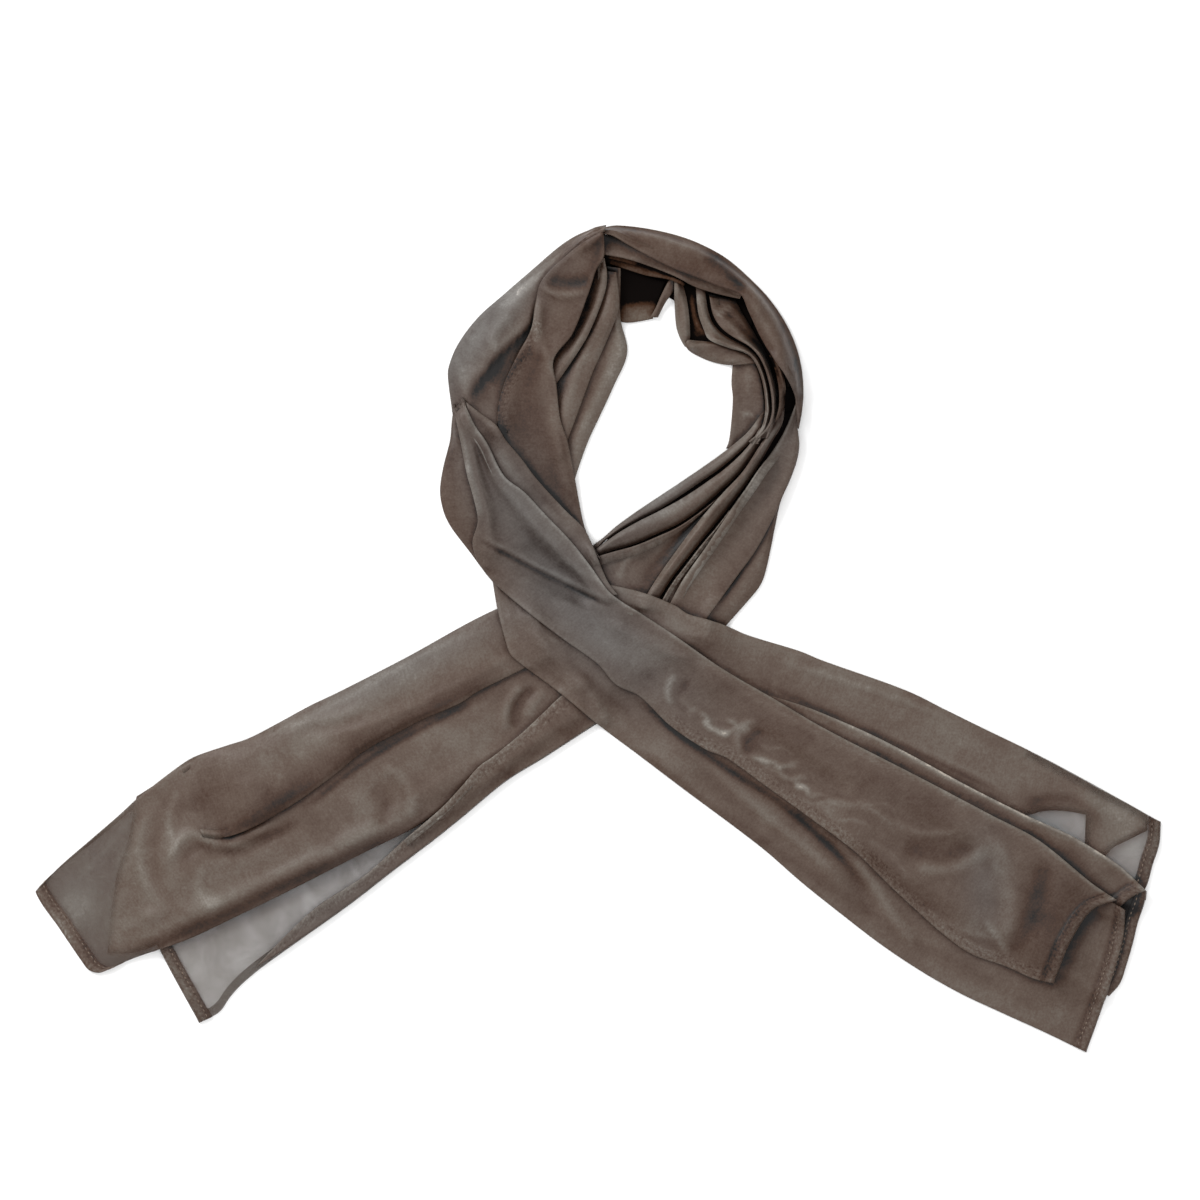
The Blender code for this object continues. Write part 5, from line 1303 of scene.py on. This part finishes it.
def organza(name, gloss=0.25, sheen=0.06):
    """Organza: sheer plain weave of tightly twisted yarn. It lets the cloth and the floor under
    it show through, turns from brown to grey by painted shade and painted sheen where its yarns
    catch the light, and lies in soft clouds where two layers' weaves cross. The real weave is
    0.3 mm; it is drawn at 2 mm so that it shows."""
    material, tree = blank_material(name)
    place = add_node(tree, "ShaderNodeTexCoord").outputs["Object"]
    cloth = add_node(tree, "ShaderNodeUVMap", uv_map="cloth").outputs["UV"]
    tone, dense, cover, cool = [
        add_node(tree, "ShaderNodeAttribute", attribute_name=label).outputs["Fac"]
        for label in ("tone", "dense", "cover", "cool")]
    thread = add_node(tree, "ShaderNodeVectorMath", {0: cloth, 1: THREAD_CELLS},
                      operation="MULTIPLY").outputs["Vector"]
    clouds, grain, crimp, mottle, slub = [
        add_node(tree, "ShaderNodeTexNoise",
                 {"Vector": where, "Scale": scale, "Detail": detail, "Roughness": rough,
                  "Distortion": bent}).outputs["Fac"]
        for where, scale, detail, rough, bent in (
            (place, CLOUD_SCALE, 3.0, 0.55, 0.6), (place, GRAIN_SCALE, 2.0, 0.5, 0.0),
            (place, CRIMP_SCALE, 4.0, 0.6, 1.4), (cloth, MOTTLE_SCALE, 3.0, 0.7, 0.0),
            (thread, 1.0, 2.0, 0.5, 0.0))]

    soft = add_node(tree, "ShaderNodeMath", {0: clouds, 1: 1.6, 2: -0.8},
                    operation="MULTIPLY_ADD").outputs[0]
    total = add_node(tree, "ShaderNodeMath", {0: tone, 1: soft}, operation="ADD").outputs[0]
    for noise, gain in ((grain, 1.1), (crimp, 0.9), (slub, 0.5)):
        fine = add_node(tree, "ShaderNodeMath", {0: noise, 1: gain, 2: -gain / 2},
                        operation="MULTIPLY_ADD").outputs[0]
        total = add_node(tree, "ShaderNodeMath", {0: total, 1: fine}, operation="ADD").outputs[0]
    speck = add_node(tree, "ShaderNodeMath", {0: mottle, 1: 4.0, 2: -1.9},
                     operation="MULTIPLY_ADD").outputs[0]
    speck = add_node(tree, "ShaderNodeMath", {0: speck, 1: dense}, operation="MULTIPLY").outputs[0]
    total = add_node(tree, "ShaderNodeMath", {0: total, 1: speck}, operation="ADD").outputs[0]
    level = add_node(tree, "ShaderNodeMath", {0: total, 1: 0.25, 2: 0.5},
                     operation="MULTIPLY_ADD", use_clamp=True).outputs[0]
    # The tone holds painted shade, down to near black in the cavities, and painted grey sheen
    colour = ramp(tree, level, [(0.0, srgb("0D0A09")), (0.25, srgb("39261B")),
                                (0.5, srgb("4E4037")), (0.68, srgb("5C534B")),
                                (0.86, srgb("736D66")), (1.0, srgb("A39A8F"))])
    # Greyer and duller where COOL lies, partly painted sheen
    colour = add_node(tree, "ShaderNodeHueSaturation",
                      {"Color": colour, "Saturation": spread(tree, cool, 1.0, 0.4),
                       "Value": spread(tree, cool, 1.0, 0.86)}).outputs["Color"]

    across, along = [
        add_node(tree, "ShaderNodeTexWave",
                 {"Vector": cloth, "Scale": WAVE_PER_PITCH / WEAVE_PITCH, "Distortion": 1.2,
                  "Detail": 1.0}, bands_direction=way).outputs["Fac"] for way in "XY"]
    weave = add_node(tree, "ShaderNodeMath", {0: across, 1: along}, operation="ADD").outputs[0]
    relief = add_node(tree, "ShaderNodeMath", {0: mottle, 1: dense},
                      operation="MULTIPLY").outputs[0]
    relief = add_node(tree, "ShaderNodeMath", {0: relief, 1: 2.0, 2: weave},
                      operation="MULTIPLY_ADD").outputs[0]
    bump = add_node(tree, "ShaderNodeBump",
                    {"Height": crimp, "Strength": 0.5, "Distance": 0.0005}).outputs["Normal"]
    bump = add_node(tree, "ShaderNodeBump",
                    {"Height": relief, "Strength": 0.08, "Distance": 0.0002,
                     "Normal": bump}).outputs["Normal"]

    open_part = add_node(tree, "ShaderNodeMath", {0: 1.0, 1: cover},
                         operation="SUBTRACT").outputs[0]
    uneven = add_node(tree, "ShaderNodeMath", {0: soft, 1: open_part},
                      operation="MULTIPLY").outputs[0]
    uneven = add_node(tree, "ShaderNodeMath", {0: uneven, 1: 0.35, 2: cover},
                      operation="MULTIPLY_ADD", use_clamp=True).outputs[0]
    closed = add_node(tree, "ShaderNodeMath", {0: dense, 1: 0.45, 2: uneven},
                      operation="MULTIPLY_ADD", use_clamp=True).outputs[0]
    surface = add_node(tree, "ShaderNodeBsdfPrincipled",
                       {"Base Color": colour, "Alpha": closed, "Normal": bump,
                        "Roughness": spread(tree, clouds, 0.42, 0.6),
                        "Specular IOR Level": gloss, "IOR": 1.5,
                        "Sheen Weight": sheen, "Sheen Roughness": 0.35,
                        "Sheen Tint": srgb("C9C2BA")})
    add_node(tree, "ShaderNodeOutputMaterial", {"Surface": surface.outputs["BSDF"]})
    return material


def sewing_thread():
    """Polyester sewing thread, twisted: a soft small gloss, a shade darker than the cloth."""
    material, tree = blank_material("polyester_thread")
    place = add_node(tree, "ShaderNodeTexCoord").outputs["Object"]
    twist = add_node(tree, "ShaderNodeTexNoise",
                     {"Vector": place, "Scale": 900.0, "Detail": 1.0}).outputs["Fac"]
    colour = ramp(tree, twist, [(0.3, srgb("4A3B32")), (0.7, srgb("6E5E51"))])
    surface = add_node(tree, "ShaderNodeBsdfPrincipled",
                       {"Base Color": colour, "Roughness": spread(tree, twist, 0.4, 0.6)})
    add_node(tree, "ShaderNodeOutputMaterial", {"Surface": surface.outputs["BSDF"]})
    return material


def studio_paper():
    """White background paper: matt, so it shows only the scarf's soft shadow."""
    material, tree = blank_material("white_paper")
    place = add_node(tree, "ShaderNodeTexCoord").outputs["Object"]
    pulp = add_node(tree, "ShaderNodeTexNoise", {"Vector": place, "Scale": 40.0}).outputs["Fac"]
    colour = ramp(tree, pulp, [(0.0, srgb("F7F7F7")), (1.0, srgb("FCFCFC"))])
    surface = add_node(tree, "ShaderNodeBsdfPrincipled",
                       {"Base Color": colour, "Roughness": 0.9, "Specular IOR Level": 0.1})
    add_node(tree, "ShaderNodeOutputMaterial", {"Surface": surface.outputs["BSDF"]})
    return material


def new_piece(name, mesh, material):
    mesh.materials.append(material)
    piece = bpy.data.objects.new(name, mesh)
    bpy.context.scene.collection.objects.link(piece)
    return piece


def sheet_mesh(name, points, weave, values):
    """A grid drawn up to the given points, with its cloth coordinates and colour values."""
    rows, columns = points.shape[:2]
    cloth = bmesh.new()
    bmesh.ops.create_grid(cloth, x_segments=columns - 1, y_segments=rows - 1, size=0.5)
    mesh = bpy.data.meshes.new(name)
    cloth.to_mesh(mesh)
    cloth.free()
    flat = np.zeros(len(mesh.vertices) * 3)
    mesh.vertices.foreach_get("co", flat)
    flat = flat.reshape(-1, 3)
    i = np.rint((flat[:, 1] + 0.5) * (rows - 1)).astype(int)
    j = np.rint((flat[:, 0] + 0.5) * (columns - 1)).astype(int)
    mesh.vertices.foreach_set("co", points[i, j].ravel())
    for label, spread_out in values.items():
        layer = mesh.attributes.new(label, "FLOAT", "POINT")
        layer.data.foreach_set("value", spread_out[i, j].astype(np.float32))
    corner = np.zeros(len(mesh.loops), int)
    mesh.loops.foreach_get("vertex_index", corner)
    layer = mesh.uv_layers.new(name="cloth")
    layer.data.foreach_set("uv", weave[i, j][corner].astype(np.float32).ravel())
    mesh.update()
    middle = mesh.polygons[(rows // 2) * (columns - 1) + columns // 2]
    if middle.normal.z < 0:
        mesh.flip_normals()
    mesh.shade_smooth()
    return mesh


def stitch_row(name, laid, material):
    """Lock stitches in a row across a stretch, a fixed way in from its hem."""
    share = 1 - STITCH_INSET / laid.length
    row = np.interp(share, laid.u, np.arange(len(laid.u)))
    low, mix = int(row), row - int(row)
    points = laid.shown
    line = (1 - mix) * points[low] + mix * points[min(low + 1, len(laid.u) - 1)]
    step = np.linalg.norm(np.diff(line, axis=0), axis=1)
    along = np.concatenate([[0.0], np.cumsum(step)])
    beads = bmesh.new()
    for at in np.arange(STITCH_PITCH, along[-1] - STITCH_PITCH / 2, STITCH_PITCH):
        here = Vector([np.interp(at, along, line[:, k]) for k in range(3)])
        ahead = Vector([np.interp(at + STITCH_PITCH / 2, along, line[:, k]) for k in range(3)])
        turn = (ahead - here).to_track_quat("X", "Z").to_matrix().to_4x4()
        size = Matrix.Diagonal((STITCH_LONG / 2, STITCH_THICK / 2, STITCH_THICK / 2, 1))
        bmesh.ops.create_icosphere(beads, subdivisions=2, radius=1.0,
                                   matrix=Matrix.Translation(here) @ turn @ size)
    mesh = bpy.data.meshes.new(name)
    beads.to_mesh(mesh)
    beads.free()
    mesh.shade_smooth()
    return new_piece(name, mesh, material)


def shade_by_depth(laid, pile, means):
    """Painted shade: cloth is darker and browner in a groove, below the cloth around it, where its
    layers crowd; painted highlight: greyer on a crest.
    """
    place = pile.cells(laid.shown)
    close, close_in, wide, wide_in = [each[place] for each in means]
    close, wide = close - laid.shown[..., 2], wide - laid.shown[..., 2]
    depths = ((close, close_in), (wide, wide_in), (-close, close_in))
    tone = sum(change * np.clip(depth / full, 0, 1) * inside
               for (full, change), (depth, inside) in zip(DEPTH_SHADES, depths))
    laid.values["tone"][:] += np.pad(tone, ((0, 0), (laid.margin,) * 2), mode="edge")


def dress_stretch(laid, cloth, thread):
    """Builds one stretch of cloth and its stitches in place of its solid."""
    stretch, points, weave = laid.stretch, laid.points, laid.weave
    name = stretch.name + "_cloth"
    piece = new_piece(name, sheet_mesh(name, points, weave, laid.values), cloth)
    wall = piece.modifiers.new("shell", "SOLIDIFY")
    wall.thickness = SHELL
    wall.offset = -1.0
    wall.use_rim = True
    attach(piece, "root")
    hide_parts(stretch.name)
    if stretch.hem == "sewn":
        row = stitch_row(stretch.name + "_hem_stitches", laid, thread)
        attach(row, "root")


def studio():
    """A white floor, soft overhead light and a camera straight above."""
    floor = bmesh.new()
    bmesh.ops.create_grid(floor, x_segments=8, y_segments=8, size=FLOOR_SIZE / 2)
    mesh = bpy.data.meshes.new("floor")
    floor.to_mesh(mesh)
    floor.free()
    new_piece("floor", mesh, studio_paper())
    for name, size, energy, place in SOFTBOXES:
        lamp = bpy.data.lights.new(name, "AREA")
        lamp.shape = "DISK"
        lamp.size = size
        lamp.energy = energy
        box = bpy.data.objects.new(name, lamp)
        box.location = place
        aim = Vector(LOOK_AT) - Vector(place)
        box.rotation_euler = aim.to_track_quat("-Z", "Y").to_euler()
        bpy.context.scene.collection.objects.link(box)
    world = bpy.data.worlds.new("room")
    world.use_nodes = True
    world.node_tree.nodes["Background"].inputs["Color"].default_value = srgb("FFFFFF")
    world.node_tree.nodes["Background"].inputs["Strength"].default_value = ROOM_LIGHT
    bpy.context.scene.world = world
    lens = bpy.data.cameras.new("camera")
    lens.sensor_width = SENSOR
    lens.lens = SENSOR * CAMERA_HEIGHT / FRAME_WIDTH
    lens.clip_end = 3 * CAMERA_HEIGHT
    camera = bpy.data.objects.new("camera", lens)
    camera.location = (LOOK_AT[0], LOOK_AT[1], CAMERA_HEIGHT)
    bpy.context.scene.collection.objects.link(camera)
    bpy.context.scene.camera = camera
    bpy.context.scene.view_settings.view_transform = "Standard"


def dress_scarf():
    cloth = organza("sheer_organza")
    # A shaded copy of the same cloth, for stretches in painted shade deep in the folds: no gloss
    # or sheen, so it stays near black
    shaded_organza = organza("organza_deep_in_folds", gloss=0.0, sheen=0.0)
    thread = sewing_thread()
    pile = Pile()
    stretches = [shape_stretch(stretch, pile) for stretch in SCARF]
    means = pile.means()
    for laid in stretches:
        shade_by_depth(laid, pile, means)
        dress_stretch(laid, shaded_organza if laid.stretch.tone <= SHADE else cloth, thread)


studio()
dress_scarf()
bpy.context.view_layer.update()
